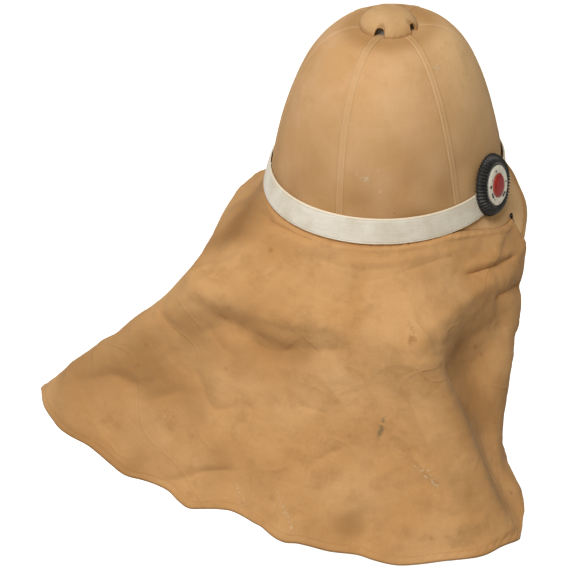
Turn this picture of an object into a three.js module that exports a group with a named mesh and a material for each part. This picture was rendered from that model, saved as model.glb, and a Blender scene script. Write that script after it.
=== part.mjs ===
// Pith helmet: cloth-covered crown and brim, leather band, vent cap, cockade and neck cloth.
// Millimetres, +Z up, front peak towards -Y, the wearer's left towards +X.
// The origin is the middle of the head opening, level with the joint of crown and brim.
// A turn is an angle round the helmet: 0 at the rear, 90 at the wearer's right, 180 at the front.
import * as THREE from "three";
import { mergeVertices } from "three/addons/utils/BufferGeometryUtils.js";

// Crown
const CROWN_LENGTH = 250;
const CROWN_WIDTH = 213;
const CROWN_HEIGHT = 161.8;
const CROWN_PROFILE = 1.31;
const CROWN_ROUNDING = 3.5;
const CROWN_DISH = 7;
const CROWN_DISH_RADIUS = 27;
const FLARE_WIDTH = 2.2;
const FLARE_HEIGHT = 25;
const SHELL_WALL = 4;
const SEAM_COUNT = 6;
const SEAM_WIDTH = 6;
const SEAM_BEVEL = 1;
const SEAM_RAISE = 0.8;

// Brim
const BRIM_HALF_WIDTH = 137;
const BRIM_REAR = 171;
const BRIM_FRONT = 170;
const BRIM_DROP = 56;
const BRIM_BEND = 0.34;
const BRIM_STEEPNESS = 0.3;

// Binding on the brim's edge
const BINDING_WIDTH = 3.6;
const BINDING_WALL = 0.9;

// Leather band
const BAND_WIDTH = 22.9;
const BAND_WALL = 1.4;
const BAND_LIFT = 3.2;
const BAND_LIFT_REAR = 0.65;
const BAND_LIFT_SIDE = 1.97;

// Vent
const VENT_RADIUS = 19;
const COLLAR_WALL = 1;
const CAP_RADIUS = 26.2;
const CAP_HEIGHT = 14.7;
const CAP_WALL = 1.6;
const CAP_PROFILE = 2;
const CAP_ROUNDING = 2.5;
const NOTCH_COUNT = 4;
const NOTCH_WIDTH = 7;
const NOTCH_HEIGHT = 8.5;
const NOTCH_TURN = 81;

// Cockade
const ROSETTE_RADIUS = 29.2;
const RING_RADIUS = 18.6;
const BOSS_RADIUS = 11;
const ROSETTE_WALL = 1.8;
const ROSETTE_EDGE_DROP = 5;
const RIB_COUNT = 50;
const RIB_RAISE = 0.9;
const RIB_REACH = 0.9;
const RING_WALL = 2;
const BOSS_DOME = 2.6;
const COCKADE_TURN = 90;
const COCKADE_TILT = 13;
const COCKADE_HEIGHT = 22.5;

// Neck cloth
const CLOTH_WALL = 1.5;
const CLOTH_TUCK = 4;
const CLOTH_LEAVE = 52;
const CLOTH_CORNER = 0.6;
const CLOTH_FOOT = [0.98, 1.1];
const CLOTH_RISE = 1.6;
const CLOTH_DROP = 165;
const HEM_LEFT = 283;
const HEM_RIGHT = 218;
const HEM_REAR = 285;
const CLOTH_FROM = -98;
const CLOTH_TO = 98;

// Hooks at the front corners of the neck cloth
const HOOK_LENGTH = 8;
const HOOK_WIRE = 1.6;
const HOOK_BESIDE = 1.5;

const CLEARANCE = 0.3;
const CLOTH_CLEARANCE = 0.7;

// Steps of turn and way over which a surface's slope is taken
const SLOPE_TURN = 0.4;
const SLOPE_WAY = 0.004;
const MERGE_DISTANCE = 1e-4;

// Half outline of the brim's edge, from the rear round to the front.
// side is a share of BRIM_HALF_WIDTH, reach of BRIM_REAR or BRIM_FRONT, drop of BRIM_DROP.
const BRIM_EDGE = [
  { turn: 0, side: 0.0, reach: 1.0, drop: 1.0 },
  { turn: 16, side: 0.365, reach: 0.995, drop: 1.0 },
  { turn: 27, side: 0.63, reach: 0.985, drop: 1.0 },
  { turn: 33, side: 0.775, reach: 0.945, drop: 0.99 },
  { turn: 39, side: 0.815, reach: 0.85, drop: 0.97 },
  { turn: 51, side: 0.84, reach: 0.61, drop: 0.93 },
  { turn: 69, side: 0.93, reach: 0.29, drop: 0.88 },
  { turn: 90, side: 1.0, reach: 0.0, drop: 0.84 },
  { turn: 112, side: 0.92, reach: -0.31, drop: 0.79 },
  { turn: 123, side: 0.84, reach: -0.475, drop: 0.76 },
  { turn: 135, side: 0.725, reach: -0.62, drop: 0.73 },
  { turn: 147, side: 0.585, reach: -0.775, drop: 0.7 },
  { turn: 162, side: 0.36, reach: -0.93, drop: 0.67 },
  { turn: 180, side: 0.0, reach: -1.0, drop: 0.66 },
];

// Hem of the neck cloth, from the wearer's left front corner round the rear to the right one.
// side is a share of HEM_LEFT or, where negative, of HEM_RIGHT; reach of HEM_REAR; drop of CLOTH_DROP.
// sag is how far the cloth hangs inside the straight line from brim to hem, and lift how far it
// stands off beyond the brim's edge, both as shares of CLOTH_DROP.
const HEM = [
  { turn: -98, side: 0.8, reach: 0.36, drop: 1.0, sag: 0.12, lift: 0.05 },
  { turn: -62, side: 0.93, reach: 0.5, drop: 1.0, sag: 0.1, lift: 0.1 },
  { turn: -44, side: 0.99, reach: 0.6, drop: 1.0, sag: 0.05, lift: 0.11 },
  { turn: -34, side: 0.985, reach: 0.675, drop: 1.0, sag: 0.0, lift: 0.07 },
  { turn: -30, side: 0.93, reach: 0.765, drop: 1.0, sag: 0.0, lift: 0.04 },
  { turn: -26, side: 0.82, reach: 0.83, drop: 1.0, sag: 0.02, lift: 0.02 },
  { turn: -20, side: 0.66, reach: 0.875, drop: 1.0, sag: 0.04, lift: 0.0 },
  { turn: -14, side: 0.45, reach: 0.945, drop: 1.0, sag: 0.05, lift: 0.0 },
  { turn: -8, side: 0.29, reach: 0.972, drop: 1.0, sag: 0.05, lift: 0.0 },
  { turn: -2, side: 0.145, reach: 0.955, drop: 1.0, sag: 0.05, lift: 0.0 },
  { turn: 3, side: 0.035, reach: 0.955, drop: 1.0, sag: 0.05, lift: 0.0 },
  { turn: 9, side: -0.12, reach: 1.0, drop: 1.0, sag: 0.05, lift: 0.0 },
  { turn: 15, side: -0.3, reach: 0.985, drop: 1.0, sag: 0.05, lift: 0.0 },
  { turn: 22, side: -0.52, reach: 0.955, drop: 1.0, sag: 0.05, lift: 0.0 },
  { turn: 28, side: -0.7, reach: 0.905, drop: 1.0, sag: 0.03, lift: 0.0 },
  { turn: 34, side: -0.89, reach: 0.815, drop: 1.0, sag: 0.0, lift: 0.0 },
  { turn: 39, side: -0.963, reach: 0.737, drop: 1.0, sag: 0.02, lift: 0.0 },
  { turn: 46, side: -1.0, reach: 0.67, drop: 1.0, sag: 0.04, lift: 0.0 },
  { turn: 62, side: -0.98, reach: 0.547, drop: 1.0, sag: 0.05, lift: 0.0 },
  { turn: 80, side: -0.92, reach: 0.45, drop: 1.0, sag: 0.05, lift: 0.0 },
  { turn: 98, side: -0.83, reach: 0.35, drop: 1.0, sag: 0.04, lift: 0.0 },
];

// Standing folds of the neck cloth past the brim's edge.
// turn and half are degrees at the brim, drift is the change of turn at the hem,
// height is a share of CLOTH_DROP, from and to say where on the hang it begins and is full.
const FOLDS = [
  { turn: 34, half: 5, drift: 3, height: 0.05, from: 0.0, to: 0.5 },
  { turn: 44, half: 7, drift: 4, height: -0.05, from: 0.1, to: 0.6 },
  { turn: 20, half: 6, drift: 4, height: -0.03, from: 0.1, to: 0.7 },
  { turn: 2, half: 7, drift: 2, height: 0.03, from: 0.2, to: 0.9 },
  { turn: -12, half: 6, drift: -3, height: -0.03, from: 0.3, to: 1.0 },
  { turn: -34, half: 6, drift: 0, height: 0.04, from: 0.0, to: 0.4 },
  { turn: 84, half: 32, drift: 0, height: -0.1, from: 0.4, to: 0.85 },
  { turn: 78, half: 30, drift: 0, height: 0.1, from: 0.78, to: 1.0 },
];

const GRID = {
  panelColumns: 8,
  crownRows: 8,
  brimRows: 5,
  innerCrownRows: 6,
  innerBrimRows: 2,
  clothColumns: 44,
  clothBrimRows: 7,
  clothHangRows: 9,
  collarSides: 32,
  capRows: 5,
  capColumns: 4,
  ringSides: 36,
  bossSides: 32,
  bossRows: 4,
  hookSteps: 12,
  hookSides: 4,
};

const radians = THREE.MathUtils.degToRad;
const up = new THREE.Vector3(0, 0, 1);

// Direction away from the middle at a turn
function outward(turn) {
  return new THREE.Vector3(-Math.sin(radians(turn)), Math.cos(radians(turn)), 0);
}

// Value of a column at a turn, on a smooth curve through the rows of a table
function readTable(rows, column, turn) {
  const last = rows.length - 1;
  let k = rows.findIndex((row) => row.turn >= turn);
  k = THREE.MathUtils.clamp(k < 0 ? last : k, 1, last);
  const low = rows[k - 1];
  const high = rows[k];
  const before = rows[Math.max(k - 2, 0)];
  const after = rows[Math.min(k + 1, last)];
  const span = high.turn - low.turn;
  const t = THREE.MathUtils.clamp((turn - low.turn) / span, 0, 1);
  const lowSlope = ((high[column] - before[column]) / (high.turn - before.turn)) * span;
  const highSlope = ((after[column] - low[column]) / (after.turn - low.turn)) * span;
  const t2 = t * t;
  const t3 = t2 * t;
  return (
    (2 * t3 - 3 * t2 + 1) * low[column] +
    (t3 - 2 * t2 + t) * lowSlope +
    (3 * t2 - 2 * t3) * high[column] +
    (t3 - t2) * highSlope
  );
}

// The brim's half table mirrored to the wearer's left, so that it reads from -180 to 180
const brimEdge = [
  ...BRIM_EDGE.slice(1)
    .reverse()
    .map((row) => ({ ...row, turn: -row.turn, side: -row.side })),
  ...BRIM_EDGE,
];

// Turn brought into -180 to 180
function wrapTurn(turn) {
  return THREE.MathUtils.euclideanModulo(turn + 180, 360) - 180;
}

// Height of the crown's outside over a point in plan
function crownHeight(x, y) {
  const share = Math.hypot(x / (CROWN_WIDTH / 2), y / (CROWN_LENGTH / 2));
  const inside = Math.max(0, 1 - share ** CROWN_ROUNDING);
  const dish = CROWN_DISH * Math.exp(-((Math.hypot(x, y) / CROWN_DISH_RADIUS) ** 2));
  return CROWN_HEIGHT * inside ** (1 / CROWN_PROFILE) - dish;
}

// Outward flare of the crown's foot at a height
function flare(z) {
  return FLARE_WIDTH * Math.max(0, 1 - z / FLARE_HEIGHT) ** 2;
}

const ventHole = VENT_RADIUS + CLEARANCE;
const ventShare = ventHole / (CROWN_WIDTH / 2);
const ventSlope = Math.asin(ventShare ** (CROWN_ROUNDING / 2));

// Point on the outside of the crown: down is 0 at the vent hole and 1 at the foot
function crownPoint(turn, down) {
  const slope = THREE.MathUtils.lerp(ventSlope, Math.PI / 2, down);
  const share = Math.sin(slope) ** (2 / CROWN_ROUNDING);
  const spread = (share - ventShare) / (1 - ventShare);
  const x = -THREE.MathUtils.lerp(ventHole, CROWN_WIDTH / 2, spread) * Math.sin(radians(turn));
  const y = THREE.MathUtils.lerp(ventHole, CROWN_LENGTH / 2, spread) * Math.cos(radians(turn));
  const z = crownHeight(x, y);
  return new THREE.Vector3(x, y, z).addScaledVector(outward(turn), flare(z));
}

// Point on the edge of the brim's upper face
function brimEdgePoint(turn) {
  const at = wrapTurn(turn);
  const reach = readTable(brimEdge, "reach", at);
  return new THREE.Vector3(
    -readTable(brimEdge, "side", at) * BRIM_HALF_WIDTH,
    reach * (reach > 0 ? BRIM_REAR : BRIM_FRONT),
    -readTable(brimEdge, "drop", at) * BRIM_DROP,
  );
}

// Point on the brim's upper face: out is 0 at the crown's foot and 1 at the edge
function brimPoint(turn, out) {
  const foot = crownPoint(turn, 1);
  const edge = brimEdgePoint(turn);
  const fall = BRIM_BEND * (foot.z - edge.z);
  const bend = foot.clone().addScaledVector(outward(turn), BRIM_STEEPNESS * fall);
  bend.addScaledVector(up, -fall);
  return new THREE.QuadraticBezierCurve3(foot, bend, edge).getPoint(out);
}

// Point on the whole outside: way runs from 0 at the vent, over 1 at the foot, to 2 at the edge
function shellPoint(turn, way) {
  return way <= 1 ? crownPoint(turn, way) : brimPoint(turn, way - 1);
}

// Unit normal of a surface given as a function of turn and way, pointing out
function normalOf(surface, turn, way, lowest, highest) {
  const ahead = surface(turn + SLOPE_TURN, way).sub(surface(turn - SLOPE_TURN, way));
  const below = surface(turn, Math.min(way + SLOPE_WAY, highest));
  below.sub(surface(turn, Math.max(way - SLOPE_WAY, lowest)));
  return ahead.cross(below).normalize().negate();
}

function shellNormal(turn, way) {
  return normalOf(shellPoint, turn, way, 0, 2);
}

// Closed geometry from sections of equal length, each a closed loop of points.
// A ring joins its last section to the first; otherwise each end is closed rung by rung.
function loft(sections, ring) {
  const size = sections[0].length;
  const corners = sections.flat();
  const faces = [];
  const apart = (a, b) => corners[a].distanceTo(corners[b]);
  const quad = (a, b, c, d) => {
    if (apart(a, c) <= apart(b, d)) faces.push([a, b, c], [a, c, d]);
    else faces.push([a, b, d], [b, c, d]);
  };
  const spans = ring ? sections.length : sections.length - 1;
  for (let i = 0; i < spans; i += 1) {
    const here = i * size;
    const next = ((i + 1) % sections.length) * size;
    for (let j = 0; j < size; j += 1) {
      const k = (j + 1) % size;
      quad(here + j, here + k, next + k, next + j);
    }
  }
  if (!ring) {
    const end = (sections.length - 1) * size;
    for (let j = 0; j < size / 2 - 1; j += 1) {
      const far = size - 1 - j;
      quad(far, far - 1, j + 1, j);
      quad(end + j, end + j + 1, end + far - 1, end + far);
    }
  }
  return geometryOf(corners, faces);
}

// Geometry with shared corners and no empty faces
function geometryOf(corners, faces) {
  const loose = new THREE.BufferGeometry().setFromPoints(corners);
  loose.setIndex(faces.flat());
  const merged = mergeVertices(loose, MERGE_DISTANCE);
  const index = merged.index.array;
  const kept = [];
  for (let i = 0; i < index.length; i += 3) {
    const [a, b, c] = index.slice(i, i + 3);
    if (a !== b && b !== c && c !== a) kept.push(a, b, c);
  }
  merged.setIndex(kept);
  merged.computeVertexNormals();
  return merged;
}

// Lathe round Z from a closed profile of [radius, height]
function lathe(profile, segments) {
  const points = profile.map(([radius, height]) => new THREE.Vector2(radius, height));
  const geometry = new THREE.LatheGeometry(points, segments);
  geometry.rotateX(Math.PI / 2);
  geometry.deleteAttribute("normal");
  geometry.deleteAttribute("uv");
  const merged = mergeVertices(geometry, MERGE_DISTANCE);
  const corners = [];
  for (let i = 0; i < merged.attributes.position.count; i += 1) {
    corners.push(new THREE.Vector3().fromBufferAttribute(merged.attributes.position, i));
  }
  const index = [...merged.index.array];
  const faces = [];
  for (let i = 0; i < index.length; i += 3) faces.push(index.slice(i, i + 3));
  return geometryOf(corners, faces);
}

function named(name, geometry, colour, roughness, metalness = 0) {
  const material = new THREE.MeshStandardMaterial({ color: colour, roughness, metalness });
  const mesh = new THREE.Mesh(geometry, material);
  mesh.name = name;
  return mesh;
}

// Columns of the shell: the corners of each seam, then the panel between it and the next.
// Each gives its turn at the crown's foot, its seam and its place across that seam.
function shellColumns() {
  const panel = 360 / SEAM_COUNT;
  const columns = [];
  const across = [-1, -1 + (2 * SEAM_BEVEL) / SEAM_WIDTH, 1 - (2 * SEAM_BEVEL) / SEAM_WIDTH, 1];
  for (let seam = 0; seam < SEAM_COUNT; seam += 1) {
    for (const place of across) {
      columns.push({ middle: seam * panel, place, raised: Math.abs(place) < 1 });
    }
    for (let k = 1; k < GRID.panelColumns; k += 1) {
      columns.push({ middle: seam * panel, share: k / GRID.panelColumns, raised: false });
    }
  }
  return columns;
}

// Turn of a column where the crown has a given mean radius
function columnTurn(column, radius) {
  const half = THREE.MathUtils.radToDeg(SEAM_WIDTH / 2 / radius);
  if (column.place !== undefined) return column.middle + column.place * half;
  return column.middle + half + column.share * (360 / SEAM_COUNT - 2 * half);
}

const footRadius = (CROWN_LENGTH + CROWN_WIDTH) / 4;
const footTurns = shellColumns().map((column) => columnTurn(column, footRadius));

function evenSteps(count, from, to) {
  return Array.from({ length: count + 1 }, (_, k) => THREE.MathUtils.lerp(from, to, k / count));
}

// Way at which the crown's outside has a given height
function crownWay(height) {
  const slope = Math.acos((height / CROWN_HEIGHT) ** (CROWN_PROFILE / 2));
  return (slope - ventSlope) / (Math.PI / 2 - ventSlope);
}

// The seams end behind the middle of the band
const seamFoot = crownWay(BAND_LIFT + BAND_WIDTH / 2);
const seamEnd = crownWay(BAND_LIFT + BAND_WIDTH / 2 - SEAM_BEVEL);

// Way at which the binding's edge lies on the brim
function bindingWay(turn) {
  return 2 - BINDING_WIDTH / brimEdgePoint(turn).distanceTo(crownPoint(turn, 1));
}

// Crown and brim as one wall, with the vent hole at the top and the head opening below
function makeShell() {
  const sections = shellColumns().map((column) => {
    const turnAt = (way) => {
      const point = crownPoint(0, Math.min(way, 1));
      const side = crownPoint(90, Math.min(way, 1));
      const radius = (Math.hypot(point.x, point.y) + Math.hypot(side.x, side.y)) / 2;
      return columnTurn(column, Math.min(radius, footRadius));
    };
    const bound = bindingWay(columnTurn(column, footRadius));
    const crownRows = [...evenSteps(GRID.crownRows, 0, seamFoot), seamEnd];
    const outer = [...crownRows, ...evenSteps(GRID.brimRows, 1, bound), 2];
    const innerCrownRows = evenSteps(GRID.innerCrownRows, 1, 0).slice(1);
    const inner = [2, ...evenSteps(GRID.innerBrimRows, bound, 1), ...innerCrownRows];
    const above = outer.map((way) => {
      const turn = turnAt(way);
      const raise = column.raised && way <= seamFoot ? SEAM_RAISE : 0;
      return shellPoint(turn, way).addScaledVector(shellNormal(turn, way), raise);
    });
    const under = inner.map((way) => {
      const turn = turnAt(way);
      return shellPoint(turn, way).addScaledVector(shellNormal(turn, way), -SHELL_WALL);
    });
    return [...above, ...under];
  });
  return named("helmet_shell", loft(sections, true), 0xb98d5c, 0.9);
}

// Direction in the brim's face, square to its edge and away from the helmet
function edgeOut(turn) {
  const round = brimEdgePoint(turn + SLOPE_TURN).sub(brimEdgePoint(turn - SLOPE_TURN));
  return round.cross(shellNormal(turn, 2)).normalize();
}

// Place beside the brim's edge: along runs outwards square to the edge, off away from the face.
// A place short of the edge is the binding's own edge on the brim's face.
function besideEdge(turn, along, off) {
  if (along < 0) {
    const way = bindingWay(turn);
    return shellPoint(turn, way).addScaledVector(shellNormal(turn, way), off);
  }
  const normal = shellNormal(turn, 2);
  return brimEdgePoint(turn).addScaledVector(edgeOut(turn), along).addScaledVector(normal, off);
}

// Cloth strip folded over the brim's edge
function makeBinding() {
  const near = CLEARANCE;
  const far = CLEARANCE + BINDING_WALL;
  const profile = [
    [-BINDING_WIDTH, far],
    [far, far],
    [far, -SHELL_WALL - far],
    [-BINDING_WIDTH, -SHELL_WALL - far],
    [-BINDING_WIDTH, -SHELL_WALL - near],
    [near, -SHELL_WALL - near],
    [near, near],
    [-BINDING_WIDTH, near],
  ];
  const sections = footTurns.map((turn) =>
    profile.map(([along, off]) => besideEdge(turn, along, off)),
  );
  return named("brim_binding", loft(sections, true), 0xb08352, 0.9);
}

// Height of the band's lower edge
function bandFoot(turn) {
  const angle = radians(turn);
  return BAND_LIFT + BAND_LIFT_REAR * Math.cos(angle) + BAND_LIFT_SIDE * Math.cos(2 * angle);
}

// How far the band's inner face stands off the crown's ellipse at its foot and at its top
const bandFootOff = FLARE_WIDTH + CLEARANCE + CLOTH_WALL + CLEARANCE;
const bandTopOff = SEAM_RAISE + CLEARANCE;

// Point beside the crown at a height, off the wall's ellipse
function besideCrown(turn, z, off) {
  const share = Math.max(0, 1 - (Math.max(z, 0) / CROWN_HEIGHT) ** CROWN_PROFILE);
  const size = share ** (1 / CROWN_ROUNDING);
  const angle = radians(turn);
  const wall = new THREE.Vector3(
    (-size * CROWN_WIDTH * Math.sin(angle)) / 2,
    (size * CROWN_LENGTH * Math.cos(angle)) / 2,
    z,
  );
  return wall.addScaledVector(outward(turn), off);
}

// Band's face at a share of its width from the lower edge
function bandPoint(turn, share, off) {
  const z = bandFoot(turn) + share * BAND_WIDTH;
  const stand = THREE.MathUtils.lerp(bandFootOff, bandTopOff, share);
  return besideCrown(turn, z, stand + off);
}

function makeBand() {
  const sections = footTurns.map((turn) => [
    bandPoint(turn, 1, 0),
    bandPoint(turn, 1, BAND_WALL),
    bandPoint(turn, 0.5, BAND_WALL),
    bandPoint(turn, 0, BAND_WALL),
    bandPoint(turn, 0, 0),
    bandPoint(turn, 0.5, 0),
  ]);
  return named("hat_band", loft(sections, true), 0xe4dfd0, 0.55);
}

const capFoot = crownHeight(0, CAP_RADIUS) + SEAM_RAISE + CLEARANCE;

// Radius of the cap's outside at a height over its rim
function capRadius(height) {
  const inside = Math.max(0, 1 - (height / CAP_HEIGHT) ** CAP_PROFILE);
  return CAP_RADIUS * inside ** (1 / CAP_ROUNDING);
}

// Height at which the cap's inside has a given radius
function capInside(radius) {
  const inside = Math.max(0, 1 - (radius / (CAP_RADIUS - CAP_WALL)) ** CAP_ROUNDING);
  return (CAP_HEIGHT - CAP_WALL) * inside ** (1 / CAP_PROFILE);
}

// Metal collar in the vent hole, up to the underside of the cap
function makeCollar() {
  const foot = crownHeight(VENT_RADIUS, 0) - SHELL_WALL - 2 * COLLAR_WALL;
  const top = capFoot + capInside(VENT_RADIUS) - 2 * CLEARANCE;
  const bore = VENT_RADIUS - COLLAR_WALL;
  const profile = [
    [bore, foot],
    [VENT_RADIUS, foot],
    [VENT_RADIUS, top],
    [bore, top],
    [bore, foot],
  ];
  return named("vent_collar", lathe(profile, GRID.collarSides), 0x66727c, 0.4, 1);
}

// Domed cap with arched notches in its rim
function makeCap() {
  const pitch = 360 / NOTCH_COUNT;
  const across = [-1, -0.85, -0.5, 0, 0.5, 0.85, 1];
  const notchHalf = THREE.MathUtils.radToDeg(NOTCH_WIDTH / 2 / CAP_RADIUS);
  const columns = [];
  for (let notch = 0; notch < NOTCH_COUNT; notch += 1) {
    const middle = NOTCH_TURN + notch * pitch;
    for (const place of across) {
      const rise = NOTCH_HEIGHT * Math.sqrt(Math.max(0, 1 - place * place));
      columns.push({ turn: middle + place * notchHalf, rise });
    }
    const rest = pitch - 2 * notchHalf;
    for (const share of evenSteps(GRID.capColumns, 0, 1).slice(1, -1)) {
      columns.push({ turn: middle + notchHalf + share * rest, rise: 0 });
    }
  }
  const top = CAP_HEIGHT;
  const innerTop = CAP_HEIGHT - CAP_WALL;
  const steps = evenSteps(GRID.capRows, 0, 1).map((share) => Math.sin((share * Math.PI) / 2));
  const at = (turn, radius, height) =>
    outward(turn).multiplyScalar(radius).addScaledVector(up, capFoot + height);
  const sections = columns.map(({ turn, rise }) => {
    const outside = steps.map((share) => {
      const height = THREE.MathUtils.lerp(rise, top, share);
      return at(turn, share === 1 ? 0 : capRadius(height), height);
    });
    const inside = steps.map((share) => {
      const height = THREE.MathUtils.lerp(rise, innerTop, share);
      const hollow = Math.max(0, 1 - (height / innerTop) ** CAP_PROFILE);
      const radius = (CAP_RADIUS - CAP_WALL) * hollow ** (1 / CAP_ROUNDING);
      return at(turn, share === 1 ? 0 : radius, height);
    });
    return [...outside.reverse(), ...inside];
  });
  return named("vent_cap", loft(sections, true), 0xa9804f, 0.9);
}

// Height of the cockade's back over its middle, at a radius
function rosetteBack(radius) {
  return -ROSETTE_EDGE_DROP * (radius / ROSETTE_RADIUS) ** 4;
}

// Fluted outer ring
function makeRosette() {
  const columns = evenSteps(2 * RIB_COUNT, 0, 360).slice(0, -1);
  const bore = RING_RADIUS - 2 * ROSETTE_WALL;
  const seat = RING_RADIUS + CLEARANCE;
  const sections = columns.map((turn, k) => {
    const rib = k % 2;
    const rim = ROSETTE_RADIUS - (1 - rib) * RIB_REACH;
    const middle = (seat + ROSETTE_RADIUS) / 2;
    const profile = [
      [bore, rosetteBack(bore)],
      [bore, rosetteBack(bore) + ROSETTE_WALL],
      [seat, rosetteBack(seat) + ROSETTE_WALL],
      [middle, rosetteBack(middle) + ROSETTE_WALL + rib * RIB_RAISE + RIB_RAISE],
      [rim, rosetteBack(rim) + ROSETTE_WALL + rib * RIB_RAISE],
      [rim, rosetteBack(rim)],
    ];
    return profile.map(([radius, height]) =>
      outward(turn).multiplyScalar(radius).addScaledVector(up, height),
    );
  });
  return named("cockade_rosette", loft(sections, true), 0x24262a, 0.6);
}

const ringFoot = rosetteBack(RING_RADIUS - 2 * ROSETTE_WALL) + ROSETTE_WALL + CLEARANCE;

function makeRing() {
  const bore = BOSS_RADIUS + CLEARANCE;
  const top = ringFoot + RING_WALL;
  const profile = [
    [bore, ringFoot],
    [RING_RADIUS, ringFoot],
    [RING_RADIUS, top - RING_WALL / 4],
    [RING_RADIUS - RING_WALL / 4, top],
    [bore + RING_WALL / 4, top + RING_WALL / 4],
    [bore, top],
    [bore, ringFoot],
  ];
  return named("cockade_ring", lathe(profile, GRID.ringSides), 0xe6e3d8, 0.5);
}

function makeBoss() {
  const top = ringFoot + RING_WALL;
  const dome = evenSteps(GRID.bossRows, 0, 1).map((share) => {
    const angle = (share * Math.PI) / 2;
    return [BOSS_RADIUS * Math.cos(angle), top + BOSS_DOME * Math.sin(angle)];
  });
  dome[dome.length - 1][0] = 0;
  return named(
    "cockade_boss",
    lathe([[0, ringFoot], [BOSS_RADIUS, ringFoot], ...dome], GRID.bossSides),
    0xb3262b,
    0.45,
  );
}

// Outermost point of the band or the crown at a turn and a height
function wallBeside(turn, z) {
  const share = (z - bandFoot(turn)) / BAND_WIDTH;
  if (share >= 0 && share <= 1) return bandPoint(turn, share, BAND_WALL);
  return besideCrown(turn, z, flare(Math.max(z, 0)));
}

// The cockade's three pieces, turned to face the wearer's right and seated on the band
function makeCockade() {
  const group = new THREE.Group();
  group.add(makeRosette(), makeRing(), makeBoss());
  const out = outward(COCKADE_TURN);
  const lean = radians(COCKADE_TILT);
  const facing = out.clone().multiplyScalar(Math.cos(lean)).addScaledVector(up, Math.sin(lean));
  group.quaternion.setFromUnitVectors(up, facing);
  group.position.copy(besideCrown(COCKADE_TURN, COCKADE_HEIGHT, 0));
  const aside = out.clone().cross(up);
  let shift = 0;
  for (const radius of [RING_RADIUS, ROSETTE_RADIUS]) {
    for (const turn of evenSteps(RIB_COUNT, 0, 360)) {
      const back = outward(turn).multiplyScalar(radius).addScaledVector(up, rosetteBack(radius));
      back.applyQuaternion(group.quaternion).add(group.position);
      const beside = THREE.MathUtils.radToDeg(Math.atan2(back.dot(aside), back.dot(out)));
      const wall = wallBeside(COCKADE_TURN + beside, back.z);
      shift = Math.max(shift, wall.dot(out) - back.dot(out));
    }
  }
  group.position.addScaledVector(out, shift + CLEARANCE);
  return group;
}

// Smooth step from 0 to 1
function ease(from, to, value) {
  return THREE.MathUtils.smoothstep(value, from, to);
}

// Corner of the hem at a turn
function hemPoint(turn) {
  const side = readTable(HEM, "side", turn);
  return new THREE.Vector3(
    side * (side > 0 ? HEM_LEFT : HEM_RIGHT),
    readTable(HEM, "reach", turn) * HEM_REAR,
    -BRIM_DROP - readTable(HEM, "drop", turn) * CLOTH_DROP,
  );
}

const clothEdgeOff = CLEARANCE + BINDING_WALL + CLOTH_CLEARANCE;

// Way at which the cloth's top edge lies: behind the band, and down the brim at its front corners
function clothTop(turn) {
  const leave = ease(CLOTH_LEAVE, CLOTH_TO, Math.abs(turn));
  return THREE.MathUtils.lerp(crownWay(bandFoot(turn) + CLOTH_TUCK), 1 + CLOTH_CORNER, leave);
}

// Inner face of the neck cloth: way is 0 at its top edge, 1 at the brim's edge and 2 at the hem
function clothPoint(turn, way) {
  const lift = readTable(HEM, "lift", turn) * CLOTH_DROP;
  if (way <= 1) {
    const at = THREE.MathUtils.lerp(clothTop(turn), 2, way);
    const low = THREE.MathUtils.lerp(CLEARANCE, CLOTH_CLEARANCE, ease(...CLOTH_FOOT, at));
    const off = THREE.MathUtils.lerp(low, clothEdgeOff, ease(CLOTH_RISE, bindingWay(turn), at));
    const past = clothEdgeOff * Math.max(0, (at - bindingWay(turn)) / (2 - bindingWay(turn)));
    const point = shellPoint(turn, at).addScaledVector(shellNormal(turn, at), off);
    point.addScaledVector(edgeOut(turn), past);
    return point.addScaledVector(outward(turn), lift * way * way);
  }
  const along = way - 1;
  const edge = besideEdge(turn, clothEdgeOff, clothEdgeOff).addScaledVector(outward(turn), lift);
  const hem = hemPoint(turn);
  const line = hem.clone().sub(edge);
  const side = outward(turn).cross(up).negate();
  const away = side.cross(line).normalize();
  if (away.z < 0) away.negate();
  const sag = readTable(HEM, "sag", turn) * CLOTH_DROP;
  let off = -sag * 4 * along * (1 - along);
  for (const fold of FOLDS) {
    const middle = fold.turn + fold.drift * along;
    const bump = Math.exp(-(((turn - middle) / fold.half) ** 2));
    off += fold.height * CLOTH_DROP * bump * ease(fold.from, fold.to, along);
  }
  return edge.addScaledVector(line, along).addScaledVector(away, off);
}

// Neck cloth as one wall, tucked behind the band, over the brim and down to the hem
function makeCloth() {
  const hangWays = evenSteps(GRID.clothHangRows, 1, 2).slice(1);
  const ways = [...evenSteps(GRID.clothBrimRows, 0, 1), ...hangWays];
  const sections = evenSteps(GRID.clothColumns, CLOTH_FROM, CLOTH_TO).map((turn) => {
    const inside = ways.map((way) => clothPoint(turn, way));
    const outside = ways.map((way, k) =>
      inside[k].clone().addScaledVector(normalOf(clothPoint, turn, way, 0, 2), CLOTH_WALL),
    );
    return [...outside, ...inside.reverse()];
  });
  return named("neck_cloth", loft(sections, false), 0xb98a54, 0.95);
}

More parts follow.
